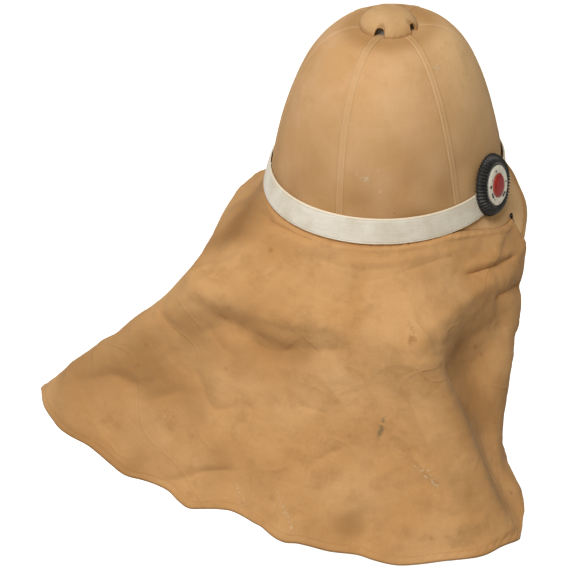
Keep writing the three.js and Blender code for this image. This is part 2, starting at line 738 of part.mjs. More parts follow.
// Wire hook on the brim just before a front corner of the cloth, bent over the cloth's edge
function makeHook(name, turn) {
  const beyond = turn + Math.sign(turn) * HOOK_BESIDE;
  const way = 1 + CLOTH_CORNER;
  const normal = shellNormal(beyond, way);
  const shank = CLEARANCE + HOOK_WIRE / 2;
  const over = CLOTH_CLEARANCE + CLOTH_WALL + CLEARANCE + HOOK_WIRE / 2;
  const foot = shellPoint(beyond, way).addScaledVector(normal, shank);
  const along = shellPoint(beyond, way + SLOPE_WAY).sub(shellPoint(beyond, way)).normalize();
  const back = shellPoint(turn, way).sub(shellPoint(beyond, way)).normalize();
  const path = new THREE.CatmullRomCurve3([
    foot.clone().addScaledVector(along, HOOK_LENGTH),
    foot.clone().addScaledVector(along, HOOK_LENGTH / 2),
    foot.clone(),
    foot.clone().addScaledVector(normal, over - shank).addScaledVector(along, -HOOK_WIRE),
    foot
      .clone()
      .addScaledVector(normal, over - shank)
      .addScaledVector(along, HOOK_WIRE)
      .addScaledVector(back, 2 * HOOK_WIRE),
  ]);
  const section = new THREE.Shape().absarc(0, 0, HOOK_WIRE / 2, 0, 2 * Math.PI);
  const geometry = new THREE.ExtrudeGeometry(section, {
    steps: GRID.hookSteps,
    bevelEnabled: false,
    curveSegments: GRID.hookSides,
    extrudePath: path,
  });
  return named(name, geometry, 0x2b2724, 0.5, 1);
}

const helmet = new THREE.Group();
helmet.add(makeShell(), makeBinding(), makeBand(), makeCollar(), makeCap());
helmet.add(makeCockade(), makeCloth());
helmet.add(makeHook("neck_cloth_hook_right", CLOTH_TO));
helmet.add(makeHook("neck_cloth_hook_left", CLOTH_FROM));

export default helmet;
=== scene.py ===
"""Looks of a pith helmet: panelled crown, bound brim, leather band, vent, cockade and neck cloth.

Shapes are worked out in millimetres and stand in the scene in metres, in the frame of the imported
model: +Z up, front peak towards -Y, the wearer's left towards +X. A turn is an angle round the
helmet in degrees, 0 at the rear and 90 at the wearer's right. A way runs down the outside of the
helmet: 0 at the vent, 1 at the crown's foot and 2 at the brim's edge.
"""

import itertools
import logging
import math
from dataclasses import dataclass, field
from enum import Enum
from typing import Callable, Sequence

import bmesh
import bpy
import numpy as np
from mathutils import Matrix, Vector


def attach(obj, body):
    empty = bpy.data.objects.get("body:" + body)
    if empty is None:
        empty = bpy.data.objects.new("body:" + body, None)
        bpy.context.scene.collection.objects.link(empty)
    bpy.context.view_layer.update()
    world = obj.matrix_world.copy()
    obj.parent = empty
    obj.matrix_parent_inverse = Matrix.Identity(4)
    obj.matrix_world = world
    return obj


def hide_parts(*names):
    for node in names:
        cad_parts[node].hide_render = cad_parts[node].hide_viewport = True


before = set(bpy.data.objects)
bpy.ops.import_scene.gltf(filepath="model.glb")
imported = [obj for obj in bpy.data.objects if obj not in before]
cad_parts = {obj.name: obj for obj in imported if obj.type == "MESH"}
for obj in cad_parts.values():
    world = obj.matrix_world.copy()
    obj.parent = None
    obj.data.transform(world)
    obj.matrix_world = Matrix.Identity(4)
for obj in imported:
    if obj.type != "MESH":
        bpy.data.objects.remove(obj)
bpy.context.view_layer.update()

MM = 0.001
UP = np.array([0.0, 0.0, 1.0])
Array = np.ndarray
Socket = bpy.types.NodeSocket
log = logging.getLogger("pith_helmet")


# ---------------------------------------------------------------- shapes


def ease(low: float | Array, high: float | Array, value: float | Array) -> Array:
    """Smooth step from 0 at low to 1 at high."""
    share = np.clip((value - low) / (high - low), 0.0, 1.0)
    return share * share * (3.0 - 2.0 * share)


def blend(a: float | Array, b: float | Array, share: float | Array) -> Array:
    """Straight mix of a and b."""
    return a + (b - a) * share


def bump(value: float | Array, width: float | Array) -> Array:
    """Bell of height 1 round 0."""
    return np.exp(-((value / width) ** 2))


def unit(vectors: Array) -> Array:
    """Vectors brought to length 1."""
    return vectors / np.maximum(np.linalg.norm(vectors, axis=-1, keepdims=True), 1e-12)


def outward(turn: float | Array) -> Array:
    """Direction away from the middle at a turn."""
    angle = np.radians(turn)
    return np.stack([-np.sin(angle), np.cos(angle), np.zeros_like(angle)], -1)


def scaled(directions: Array, lengths: float | Array) -> Array:
    """Directions times one length each."""
    return directions * np.asarray(lengths)[..., None]


def run_of(points: Array, axis: int) -> Array:
    """Distance run along one axis of a grid of points, from its first."""
    steps = np.linalg.norm(np.diff(points, axis=axis), axis=-1)
    start = np.zeros_like(np.take(steps, [0], axis=axis))
    return np.concatenate([start, np.cumsum(steps, axis=axis)], axis=axis)


class Table:
    """Rows of named columns, read along the first one on a smooth curve."""

    def __init__(self, names: str, rows: Sequence[Sequence[float]]) -> None:
        """Keeps the rows.

        Args:
            names: the column names, with spaces between.
            rows: one row of numbers for each place.
        """
        self.names = names.split()
        self.rows = np.array(rows, float)

    def column(self, name: str) -> Array:
        """All values of one column."""
        return self.rows[:, self.names.index(name)]

    def read(self, name: str, place: float | Array) -> Array:
        """Value of a column at a place.

        Args:
            name: the column.
            place: values of the first column.

        Returns:
            The values on a smooth curve through the rows.
        """
        at, values = self.rows[:, 0], self.column(name)
        last = len(at) - 1
        high = np.clip(np.searchsorted(at, place, side="left"), 1, last)
        low = high - 1
        before, after = np.maximum(low - 1, 0), np.minimum(high + 1, last)
        span = at[high] - at[low]
        share = np.clip((place - at[low]) / span, 0.0, 1.0)
        low_slope = (values[high] - values[before]) / (at[high] - at[before]) * span
        high_slope = (values[after] - values[low]) / (at[after] - at[low]) * span
        square, cube = share**2, share**3
        return (
            (2 * cube - 3 * square + 1) * values[low]
            + (cube - 2 * square + share) * low_slope
            + (3 * square - 2 * cube) * values[high]
            + (cube - square) * high_slope
        )


class Unevenness:
    """Seeded smooth noise through space, from about -1 to 1."""

    SIZE = 48

    def __init__(self, seed: int, spacing: float) -> None:
        """Fills the lattice.

        Args:
            seed: fixes the pattern.
            spacing: size of one swell in mm.
        """
        self.spacing = spacing
        self.lattice = np.random.default_rng(seed).uniform(-1.0, 1.0, (self.SIZE,) * 3)

    def at(self, points: Array) -> Array:
        """Noise at points in mm."""
        place = points / self.spacing
        low = np.floor(place).astype(int)
        share = place - low
        share = share * share * (3.0 - 2.0 * share)
        total = np.zeros(points.shape[:-1])
        for corner in itertools.product((0, 1), repeat=3):
            weight = np.prod(np.where(corner, share, 1.0 - share), axis=-1)
            index = (low + corner) % self.SIZE
            total += weight * self.lattice[index[..., 0], index[..., 1], index[..., 2]]
        return total


def swells(points: Array, layers: Sequence[tuple[int, float, float]]) -> Array:
    """Layers of unevenness at points, laid on one another.

    Args:
        points: places in mm.
        layers: seed, spacing in mm and height of each layer.

    Returns:
        The sum, one number for each point.
    """
    return sum(height * Unevenness(seed, spacing).at(points) for seed, spacing, height in layers)


Surface = Callable[[Array, Array], Array]


def normal_of(surface: Surface, turn: Array, way: Array, lowest: float, highest: float) -> Array:
    """Unit normal of a surface, pointing out.

    Args:
        surface: gives points in mm from turn and way.
        turn: turns.
        way: ways.
        lowest: least way of the surface.
        highest: greatest way of the surface.

    Returns:
        One unit vector for each place.
    """
    turn_step, way_step = 0.4, 0.004
    ahead = surface(turn + turn_step, way) - surface(turn - turn_step, way)
    below = surface(turn, np.minimum(way + way_step, highest))
    below = below - surface(turn, np.maximum(way - way_step, lowest))
    return -unit(np.cross(ahead, below))


@dataclass(frozen=True)
class HelmetForm:
    """Outside form of crown and brim, which every other piece is fitted to. Sizes in mm."""

    crown_length: float = 250.0
    crown_width: float = 213.0
    crown_height: float = 161.8
    crown_profile: float = 1.31
    crown_rounding: float = 3.5
    dish: float = 7.0
    dish_radius: float = 27.0
    flare_width: float = 2.2
    flare_height: float = 25.0
    wall: float = 4.0
    vent_hole: float = 19.3
    half_width: float = 137.0
    rear: float = 171.0
    front: float = 170.0
    drop: float = 56.0
    bend: float = 0.34
    steepness: float = 0.3
    binding_width: float = 3.6
    edge: Table = field(
        default_factory=lambda: Table(
            "turn side reach drop",
            [
                (0, 0.0, 1.0, 1.0),
                (16, 0.365, 0.995, 1.0),
                (27, 0.632, 0.987, 1.0),
                (30.5, 0.718, 0.969, 1.0),
                (32, 0.752, 0.957, 1.0),
                (33.2, 0.765, 0.93, 0.99),
                (36, 0.79, 0.883, 0.98),
                (39, 0.812, 0.84, 0.97),
                (51, 0.84, 0.61, 0.93),
                (69, 0.93, 0.29, 0.88),
                (90, 1.0, 0.0, 0.84),
                (112, 0.92, -0.31, 0.79),
                (123, 0.84, -0.475, 0.76),
                (135, 0.725, -0.62, 0.73),
                (147, 0.585, -0.775, 0.7),
                (162, 0.36, -0.93, 0.67),
                (180, 0.0, -1.0, 0.66),
            ],
        )
    )

    def __post_init__(self) -> None:
        """Mirrors the half table of the brim's edge to the wearer's left."""
        half = self.edge.rows
        mirrored = half[:0:-1] * [-1, -1, 1, 1]
        object.__setattr__(self, "edge", Table("turn side reach drop", [*mirrored, *half]))

    @property
    def foot_radius(self) -> float:
        """Mean radius of the crown's foot."""
        return (self.crown_length + self.crown_width) / 4

    @property
    def vent_share(self) -> float:
        """Radius of the vent hole as a share of the crown's half width."""
        return self.vent_hole / (self.crown_width / 2)

    @property
    def vent_slope(self) -> float:
        """Slope angle at which the crown's outside meets the vent hole."""
        return math.asin(self.vent_share ** (self.crown_rounding / 2))

    def height_over(self, x: Array, y: Array) -> Array:
        """Height of the crown's outside over a point in plan."""
        share = np.hypot(x / (self.crown_width / 2), y / (self.crown_length / 2))
        inside = np.maximum(0.0, 1.0 - share**self.crown_rounding)
        dish = self.dish * bump(np.hypot(x, y), self.dish_radius)
        return self.crown_height * inside ** (1 / self.crown_profile) - dish

    def flare(self, z: float | Array) -> Array:
        """Outward flare of the crown's foot at a height."""
        return self.flare_width * np.maximum(0.0, 1.0 - z / self.flare_height) ** 2

    def crown_point(self, turn: Array, down: Array) -> Array:
        """Point on the crown's outside: down is 0 at the vent hole and 1 at the foot."""
        slope = blend(self.vent_slope, math.pi / 2, down)
        share = np.sin(slope) ** (2 / self.crown_rounding)
        spread = (share - self.vent_share) / (1 - self.vent_share)
        out = outward(turn)
        x = blend(self.vent_hole, self.crown_width / 2, spread) * out[..., 0]
        y = blend(self.vent_hole, self.crown_length / 2, spread) * out[..., 1]
        z = self.height_over(x, y)
        return np.stack([x, y, z], -1) + scaled(out, self.flare(z))

    def edge_point(self, turn: Array) -> Array:
        """Point on the edge of the brim's upper face."""
        at = (turn + 180.0) % 360.0 - 180.0
        reach = self.edge.read("reach", at)
        return np.stack(
            [
                -self.edge.read("side", at) * self.half_width,
                reach * np.where(reach > 0, self.rear, self.front),
                -self.edge.read("drop", at) * self.drop,
            ],
            -1,
        )

    def brim_point(self, turn: Array, out: Array) -> Array:
        """Point on the brim's upper face: out is 0 at the crown's foot and 1 at the edge."""
        foot = self.crown_point(turn, np.ones_like(turn))
        edge = self.edge_point(turn)
        fall = self.bend * (foot[..., 2] - edge[..., 2])
        bend = foot + scaled(outward(turn), self.steepness * fall) - scaled(UP, fall)
        near, middle, far = (1 - out) ** 2, 2 * out * (1 - out), out**2
        return foot * near[..., None] + bend * middle[..., None] + edge * far[..., None]

    def point(self, turn: Array, way: Array) -> Array:
        """Point on the whole outside."""
        turn, way = np.broadcast_arrays(np.asarray(turn, float), np.asarray(way, float))
        crown = self.crown_point(turn, np.minimum(way, 1.0))
        brim = self.brim_point(turn, np.maximum(way - 1.0, 0.0))
        return np.where((way <= 1.0)[..., None], crown, brim)

    def normal(self, turn: Array, way: Array) -> Array:
        """Unit normal of the whole outside."""
        return normal_of(self.point, turn, way, 0.0, 2.0)

    def edge_out(self, turn: Array) -> Array:
        """Direction in the brim's face, square to its edge and away from the helmet."""
        along = self.edge_point(turn + 0.4) - self.edge_point(turn - 0.4)
        return unit(np.cross(along, self.normal(turn, np.full_like(turn, 2.0))))

    def binding_way(self, turn: Array) -> Array:
        """Way at which the binding's edge lies on the brim."""
        foot = self.crown_point(turn, np.ones_like(turn))
        return 2.0 - self.binding_width / np.linalg.norm(self.edge_point(turn) - foot, axis=-1)

    def beside_edge(self, turn: Array, along: Array, off: Array) -> Array:
        """Place beside the brim's edge.

        Args:
            turn: turns.
            along: mm outwards square to the edge; below 0 it lies over the brim's face.
            off: mm away from the face.

        Returns:
            Points in mm.
        """
        short = 2.0 + np.minimum(along, 0.0) / self.binding_width * (2.0 - self.binding_way(turn))
        point = self.point(turn, short) + scaled(self.edge_out(turn), np.maximum(along, 0.0))
        return point + scaled(self.normal(turn, short), off)

    def way_at(self, height: Array) -> Array:
        """Way at which the crown's outside has a height."""
        slope = np.arccos((height / self.crown_height) ** (self.crown_profile / 2))
        return (slope - self.vent_slope) / (math.pi / 2 - self.vent_slope)

    def beside_crown(self, turn: Array, z: Array, off: Array) -> Array:
        """Point beside the crown at a height, off its wall."""
        height = np.maximum(z, 0.0) / self.crown_height
        inside = np.maximum(0.0, 1.0 - height**self.crown_profile)
        size = inside ** (1 / self.crown_rounding)
        out = outward(turn)
        x = size * self.crown_width * out[..., 0] / 2
        y = size * self.crown_length * out[..., 1] / 2
        return np.stack([x, y, np.broadcast_to(z, x.shape)], -1) + scaled(out, off)


# ---------------------------------------------------------------- meshes


@dataclass
class Skin:
    """Closed skin of a piece: sections side by side, each a closed loop of points in mm.

    An open skin has its two end sections closed. The inner side of its loops may have fewer rows,
    one to every few of the outer side. Grain is the place on the sheet of each corner in mm, and
    grain_far that of the next section where a seam parts the two. Marks hold a strength by name;
    a mark that the mesh doesn't carry is 0.
    """

    sections: Array
    ring: bool = True
    rows_per_inner_row: int = 1
    grain: Array | None = None
    grain_far: Array | None = None
    marks: dict[str, Array] = field(default_factory=dict)

    def faces(self) -> list[list[int]]:
        """Corner numbers of all faces."""
        count, size = self.sections.shape[:2]
        here = np.arange(count if self.ring else count - 1)[:, None]
        row = np.arange(size)[None, :]
        after, below = (here + 1) % count, (row + 1) % size
        sides = [here * size + row, here * size + below, after * size + below, after * size + row]
        faces = np.stack(np.broadcast_arrays(*sides), -1).reshape(-1, 4).tolist()
        if self.ring:
            return faces
        step = self.rows_per_inner_row
        inner_rows = (size + step - 1) // (step + 1)
        for end in (0, (count - 1) * size):
            for k in range(inner_rows - 1):
                outer = range((k + 1) * step, k * step - 1, -1)
                faces.append([end + size - 1 - k, end + size - 2 - k, *(end + j for j in outer)])
        return faces

    def corner_grain(self) -> Array:
        """Grain at the corners of every face but those that close the ends."""
        near = self.grain[:-1] if self.grain_far is None else self.grain
        far = self.grain[1:] if self.grain_far is None else self.grain_far
        corners = [near[:, :-1], near[:, 1:], far[:, 1:], far[:, :-1]]
        return np.stack(corners, 2).reshape(-1, self.grain.shape[-1])

    def make(self, name: str, sharp: float = 40.0) -> bpy.types.Object:
        """Makes the object.

        Args:
            name: the piece's name.
            sharp: least angle in degrees between faces that shows as an edge.

        Returns:
            The object, in metres.
        """
        mesh = bpy.data.meshes.new(name)
        mesh.from_pydata((self.sections.reshape(-1, 3) * MM).tolist(), [], self.faces())
        if self.grain is not None:
            values = np.zeros((len(mesh.loops), 3))
            corners = self.corner_grain()
            values[: len(corners), : corners.shape[-1]] = corners * MM
            layer = mesh.attributes.new("grain", "FLOAT_VECTOR", "CORNER")
            layer.data.foreach_set("vector", values.ravel())
        for mark, strength in self.marks.items():
            layer = mesh.attributes.new(mark, "FLOAT", "POINT")
            layer.data.foreach_set("value", np.asarray(strength, float).ravel())
        piece = bpy.data.objects.new(name, mesh)
        bpy.context.scene.collection.objects.link(piece)
        weld(mesh)
        mesh.shade_smooth()
        mesh.set_sharp_from_angle(angle=math.radians(sharp))
        return piece


def weld(mesh: bpy.types.Mesh) -> None:
    """Joins corners that coincide and drops the empty faces between them."""
    work = bmesh.new()
    work.from_mesh(mesh)
    bmesh.ops.remove_doubles(work, verts=work.verts, dist=0.004 * MM)
    bmesh.ops.recalc_face_normals(work, faces=work.faces)
    work.to_mesh(mesh)
    work.free()


def lathe(profile: Sequence[tuple[float, float]], sides: int) -> Skin:
    """Skin turned round Z.

    Args:
        profile: closed loop of radius and height in mm.
        sides: number of sections.

    Returns:
        The skin, with grain round and across.
    """
    loop = np.array(profile, float)
    turns = np.linspace(0.0, 360.0, sides, endpoint=False)
    sections = outward(turns)[:, None, :] * loop[None, :, :1] + UP * loop[None, :, 1:]
    run = run_of(np.concatenate([loop, loop[:1]]), 0)
    radius = np.append(loop[:, 0], loop[0, 0])
    around = np.radians(np.linspace(0.0, 360.0, sides + 1))[:, None] * radius[None, :]
    grain = np.stack([around, np.broadcast_to(run, around.shape)], -1)
    return Skin(sections, grain=grain)


def rounded(
    corners: Sequence[tuple[float, float, float]], steps: int = 4
) -> list[tuple[float, float]]:
    """Loop with rounded corners.

    Args:
        corners: radius, height and rounding of each corner in mm.
        steps: points on each rounding.

    Returns:
        The loop's points.
    """
    loop = []
    count = len(corners)
    for k, (x, y, rounding) in enumerate(corners):
        here = np.array([x, y])
        before = np.array(corners[k - 1][:2]) - here
        after = np.array(corners[(k + 1) % count][:2]) - here
        if rounding == 0:
            loop.append((x, y))
            continue
        start = here + unit(before) * min(rounding, np.linalg.norm(before) / 2)
        end = here + unit(after) * min(rounding, np.linalg.norm(after) / 2)
        for share in np.linspace(0.0, 1.0, steps):
            near, middle, far = (1 - share) ** 2, 2 * share * (1 - share), share**2
            loop.append(tuple(start * near + here * middle + end * far))
    return loop


@dataclass(frozen=True)
class Line:
    """Crease, ridge or mark along a line on a surface, given by turn and way. Sizes in mm.

    Width lies to the rear's left of a line that runs down, and below one that runs from left to
    right, as seen from behind the helmet, and far_width on the other side. A pinch of 2 is a soft
    roll and of 1 a sharp crease. Fade is the share of the length over which each end dies away.
    """

    path: tuple[tuple[float, float], ...]
    height: float
    width: float
    far_width: float = 0.0
    pinch: float = 2.0
    fade: float = 0.25

    # Degrees of turn that one way counts as where points are spread along the path
    WAY_WEIGHT = 60

    def nodes(self, count: int = 18) -> Array:
        """Turns and ways along the smoothed path."""
        path = np.array(self.path, float)
        run = run_of(path * [1, self.WAY_WEIGHT], 0)
        smooth = Table("run turn way", np.column_stack([run, path]))
        at = np.linspace(0.0, run[-1], count)
        return np.stack([smooth.read("turn", at), smooth.read("way", at)], -1)

    def strength(self, points: Array, normals: Array, surface: Surface) -> Array:
        """How strongly the line shows at points.

        Args:
            points: places in mm.
            normals: their unit normals.
            surface: gives points in mm from turn and way.

        Returns:
            The height times the bell across the line, one number for each point.
        """
        nodes = self.nodes()
        path = surface(nodes[:, 0], nodes[:, 1])
        far_width = self.far_width or self.width
        reach = 3 * max(self.width, far_width) + 10.0
        low, high = path.min(0) - reach, path.max(0) + reach
        near = np.all((points > low) & (points < high), axis=-1)
        result = np.zeros(points.shape[:-1])
        if not near.any():
            return result
        places, square = points[near], normals[near]
        best = np.full(len(places), np.inf)
        along, side = np.zeros(len(places)), np.zeros(len(places))
        for k, (start, stop) in enumerate(zip(path[:-1], path[1:])):
            step = stop - start
            share = np.clip((places - start) @ step / (step @ step), 0.0, 1.0)
            off = places - start - share[:, None] * step
            off = off - scaled(square, np.sum(off * square, axis=-1))
            distance = np.linalg.norm(off, axis=-1)
            closer = distance < best
            best = np.where(closer, distance, best)
            along = np.where(closer, (k + share) / (len(path) - 1), along)
            leaning = np.sum(off * np.cross(step, square), axis=-1)
            side = np.where(closer, leaning, side)
        width = np.where(side > 0, self.width, far_width)
        ends = ease(0.0, self.fade, along) * ease(0.0, self.fade, 1.0 - along)
        result[near] = self.height * np.exp(-((best / width) ** self.pinch)) * ends
        return result


# ---------------------------------------------------------------- finishes


def linear(colour: str) -> tuple[float, float, float, float]:
    """Linear colour of an sRGB hex value."""
    parts = [int(colour[k : k + 2], 16) / 255 for k in (1, 3, 5)]
    return (*(p / 12.92 if p <= 0.04045 else ((p + 0.055) / 1.055) ** 2.4 for p in parts), 1.0)


def add_node(
    tree: bpy.types.NodeTree, kind: str, inputs: dict | None = None, **settings: object
) -> bpy.types.Node:
    """Adds a node.

    Args:
        tree: the material's nodes.
        kind: the node's type name.
        inputs: socket name or number to a value, or to the socket linked into it.
        settings: the node's own properties.

    Returns:
        The node.
    """
    node = tree.nodes.new(kind)
    for name, value in settings.items():
        setattr(node, name, value)
    for name, value in (inputs or {}).items():
        if isinstance(value, Socket):
            tree.links.new(value, node.inputs[name])
        else:
            node.inputs[name].default_value = value
    return node


class Finish:
    """A material's nodes, and the patterns that several finishes draw with."""

    def __init__(self, name: str) -> None:
        """Starts an empty material.

        Args:
            name: the finish's name.
        """
        self.material = bpy.data.materials.new(name)
        self.material.use_nodes = True
        self.tree = self.material.node_tree
        self.shader = self.tree.nodes["Principled BSDF"]

    def set(self, **values: object) -> None:
        """Sets or links the shader's sockets, with _ for a space in their names."""
        for name, value in values.items():
            socket = self.shader.inputs[name.replace("_", " ")]
            if isinstance(value, Socket):
                self.tree.links.new(value, socket)
            else:
                socket.default_value = value

    def space(self) -> Socket:
        """Place in the row's frame, in metres."""
        return add_node(self.tree, "ShaderNodeTexCoord").outputs["Object"]

    def mark(self, name: str) -> Socket:
        """Strength of a mark that the mesh carries."""
        return add_node(self.tree, "ShaderNodeAttribute", attribute_name=name).outputs["Fac"]

    def grain(self, along: float, across: float) -> Socket:
        """Place on the piece, stretched.

        Args:
            along: factor on the first direction of the grain.
            across: factor on the second.

        Returns:
            The stretched place.
        """
        place = add_node(self.tree, "ShaderNodeAttribute", attribute_name="grain").outputs["Vector"]
        inputs = {"Vector": place, "Scale": (along, across, 1.0)}
        return add_node(self.tree, "ShaderNodeMapping", inputs).outputs["Vector"]

    def cloud(self, place: Socket, size: float, detail: float = 3.0, rough: float = 0.55) -> Socket:
        """Soft irregular pattern from 0 to 1.

        Args:
            place: where it is read.
            size: size of one patch in metres.
            detail: number of finer layers.
            rough: weight of the finer layers.

        Returns:
            The pattern.
        """
        inputs = {"Vector": place, "Scale": 1.0 / size, "Detail": detail, "Roughness": rough}
        return add_node(self.tree, "ShaderNodeTexNoise", inputs).outputs["Fac"]

    def spread(
        self, value: Socket, low: float, high: float, to: tuple[float, float] = (0, 1)
    ) -> Socket:
        """Value brought from low..high to the range of to, and held within it."""
        inputs = {"Value": value, "From Min": low, "From Max": high}
        inputs |= {"To Min": to[0], "To Max": to[1]}
        kind, smooth = "ShaderNodeMapRange", "SMOOTHSTEP"
        return add_node(self.tree, kind, inputs, interpolation_type=smooth).outputs["Result"]

    def sum(self, operation: str, a: Socket | float, b: Socket | float = 0.0) -> Socket:
        """Result of one sum on two values."""
        return add_node(self.tree, "ShaderNodeMath", {0: a, 1: b}, operation=operation).outputs[0]

    def tint(self, share: Socket | float, under: Socket | tuple, over: Socket | tuple) -> Socket:
        """Colour under with the colour over laid on it by a share."""
        node = add_node(self.tree, "ShaderNodeMix", {0: share, 6: under, 7: over}, data_type="RGBA")
        return node.outputs[2]

    def relief(self, height: Socket, depth: float, under: Socket | None = None) -> Socket:
        """Bumped normal.

        Args:
            height: pattern of the relief, from 0 to 1.
            depth: its depth in metres.
            under: the normal that it lies on.

        Returns:
            The normal.
        """
        inputs = {"Height": height, "Distance": depth, "Strength": 1.0}
        if under is not None:
            inputs["Normal"] = under
        return add_node(self.tree, "ShaderNodeBump", inputs).outputs["Normal"]

    def bands(self, place: Socket, pitch: float, direction: str, distortion: float = 0.0) -> Socket:
        """Even stripes from 0 to 1, a pitch apart in metres."""
        # A wave texture of scale 1 repeats every pi / 10
        inputs = {"Vector": place, "Scale": math.pi / 10 / pitch}
        inputs |= {"Distortion": distortion, "Detail": 1.0}
        waves = add_node(self.tree, "ShaderNodeTexWave", inputs, bands_direction=direction)
        return waves.outputs["Fac"]


class Weave(Enum):
    """How the threads of a cloth cross."""

    PLAIN = "plain"
    TWILL = "twill"


@dataclass(frozen=True)
class WovenCotton:
    """Khaki cotton cloth, piece-dyed and years in the sun: matt, faintly furry, unevenly faded."""

    name: str
    colour: str
    faded: str
    soiled: str
    weave: Weave
    # Lengths in metres. Real threads are 0.4 to 0.6 mm apart; drawn this coarse so that they show
    thread_pitch: float = 0.0012
    # Cloth fades in patches about as large as a palm
    patch_size: float = 0.055
    weave_depth: float = 0.00005
    crumple: float = 0.0007
    # Share of the soiled colour in the clouds of old soil
    blotches: float = 0.2
    creases: float = 0.0
    stitched: bool = False
    stitch_length: float = 0.0028
    # Place of each row of stitches across a seam, whose edges are at 1
    stitch_place: float = 0.84
    # Tint of the painted highlight that the fade mark lays on
    highlight_tint: str = "#F0C998"
    speck: str = "#4E3A22"
    oil: str = "#6B674E"
    rub: str = "#E6D2B4"
    strip: str = "#E2C49C"
    thread: str = "#E8CFA9"

    def make(self) -> bpy.types.Material:
        """Material with threads, uneven dye, soil, specks and the marks that the mesh carries."""
        work = Finish(self.name)
        place = work.space()
        grain = work.grain(1.0, 1.0)
        warp = work.bands(grain, self.thread_pitch, "X", 0.4)
        weft = work.bands(grain, self.thread_pitch, "Y", 0.4)
        threads = work.sum("MULTIPLY", warp, weft)
        if self.weave is Weave.TWILL:
            threads = work.bands(grain, self.thread_pitch, "DIAGONAL", 0.3)
        # Slubs: single threads thicker or darker than their neighbours
        slub_along = work.cloud(work.grain(1.0, 0.06), 0.0022, 2.0)
        slub_across = work.cloud(work.grain(0.06, 1.0), 0.0022, 2.0)
        slubs = work.sum("MULTIPLY", slub_along, slub_across)
        # Uneven fading in hand-sized patches, and soil gathered in finer clouds
        fading = work.spread(work.cloud(place, self.patch_size, 4.0), 0.35, 0.68)
        clouds = work.spread(work.cloud(place, 0.021, 5.0, 0.62), 0.44, 0.72)
        colour = work.tint(fading, linear(self.colour), linear(self.faded))
        # The fade mark lays painted highlight: a lighter tint where sheen and light fall
        colour = work.tint(work.mark("fade"), colour, linear(self.highlight_tint))
        # The soil mark carries dirt, and on the crown and the canvas also painted shade
        soil = work.sum("MAXIMUM", work.sum("MULTIPLY", clouds, self.blotches), work.mark("soil"))
        colour = work.tint(soil, colour, linear(self.soiled))
        dark_threads = work.spread(slubs, 0.16, 0.34, (0.04, 0.0))
        colour = work.tint(dark_threads, colour, linear(self.soiled))
        weave_shade = work.spread(threads, 0.0, 0.7, (0.02, 0.0))
        colour = work.tint(weave_shade, colour, linear(self.soiled))
        # Specks of old dirt, one to three millimetres across
        specks = work.spread(work.cloud(place, 0.0068, 3.0, 0.6), 0.72, 0.79, (0.0, 0.32))
        colour = work.tint(specks, colour, linear(self.speck))
        # Oil soaks in with a feathered edge
        oil = work.sum("ADD", work.mark("stain"), work.cloud(place, 0.003, 3.0, 0.6))
        colour = work.tint(work.spread(oil, 0.75, 1.3, (0.0, 0.7)), colour, linear(self.oil))
        # Rubs and chalk: the mark breaks up into pale flecks a few threads wide
        ragged = work.spread(work.cloud(place, 0.003, 4.0, 0.65), 0.32, 0.68)
        flecks = work.spread(work.sum("ADD", work.mark("chalk"), ragged), 0.85, 1.5, (0.0, 0.6))
        colour = work.tint(flecks, colour, linear(self.rub))
        if self.stitched:
            sewing = self.stitches(work)
            strip = work.spread(work.sum("ABSOLUTE", work.mark("seam")), 0.95, 1.15, (0.1, 0.0))
            colour = work.tint(strip, colour, linear(self.strip))
            colour = work.tint(sewing, colour, linear(self.thread))
        work.set(Base_Color=colour)
        fibres = work.cloud(place, 0.0016, 3.0, 0.7)
        wrinkles = work.cloud(place, 0.016, 4.0, 0.5)
        normal = work.relief(wrinkles, self.crumple)
        normal = work.relief(flecks, 0.0004, normal)
        if self.creases:
            normal = work.relief(self.creasing(work), self.creases, normal)
        normal = work.relief(threads, self.weave_depth, normal)
        normal = work.relief(fibres, 0.00012, normal)
        if self.stitched:
            normal = work.relief(sewing, 0.0003, normal)
        work.set(Normal=normal, Roughness=work.spread(fibres, 0.3, 0.7, (0.82, 0.95)))
        # Loose fibres stand off the threads and catch a little light at a slant
        work.set(IOR=1.5, Specular_IOR_Level=0.25, Sheen_Weight=0.14, Sheen_Roughness=0.6)
        work.set(Sheen_Tint=linear("#F2D9B5"))
        return work.material

    def creasing(self, work: Finish) -> Socket:
        """Faint creases, some centimetres long, of cloth that was folded away: 0 to 1."""
        place = work.space()
        found = 0.0
        for size, width in ((0.11, 0.014), (0.06, 0.02)):
            contour = work.sum("SUBTRACT", work.cloud(place, size, 1.0, 0.35), 0.5)
            line = work.spread(work.sum("ABSOLUTE", contour), 0.0, width, (1.0, 0.0))
            shown = work.spread(work.cloud(place, size * 0.9, 1.0), 0.47, 0.6)
            found = work.sum("MAXIMUM", found, work.sum("MULTIPLY", line, shown))
        return found

    def stitches(self, work: Finish) -> Socket:
        """Two rows of worn stitches along each seam, from 0 to 1."""
        across = work.sum("ABSOLUTE", work.mark("seam"))
        off = work.sum("ABSOLUTE", work.sum("SUBTRACT", across, self.stitch_place))
        row = work.spread(off, 0.02, 0.22, (0.36, 0.0))
        length = work.bands(work.grain(1.0, 1.0), self.stitch_length, "Y")
        return work.sum("MULTIPLY", row, work.spread(length, 0.1, 0.6, (0.7, 1.0)))


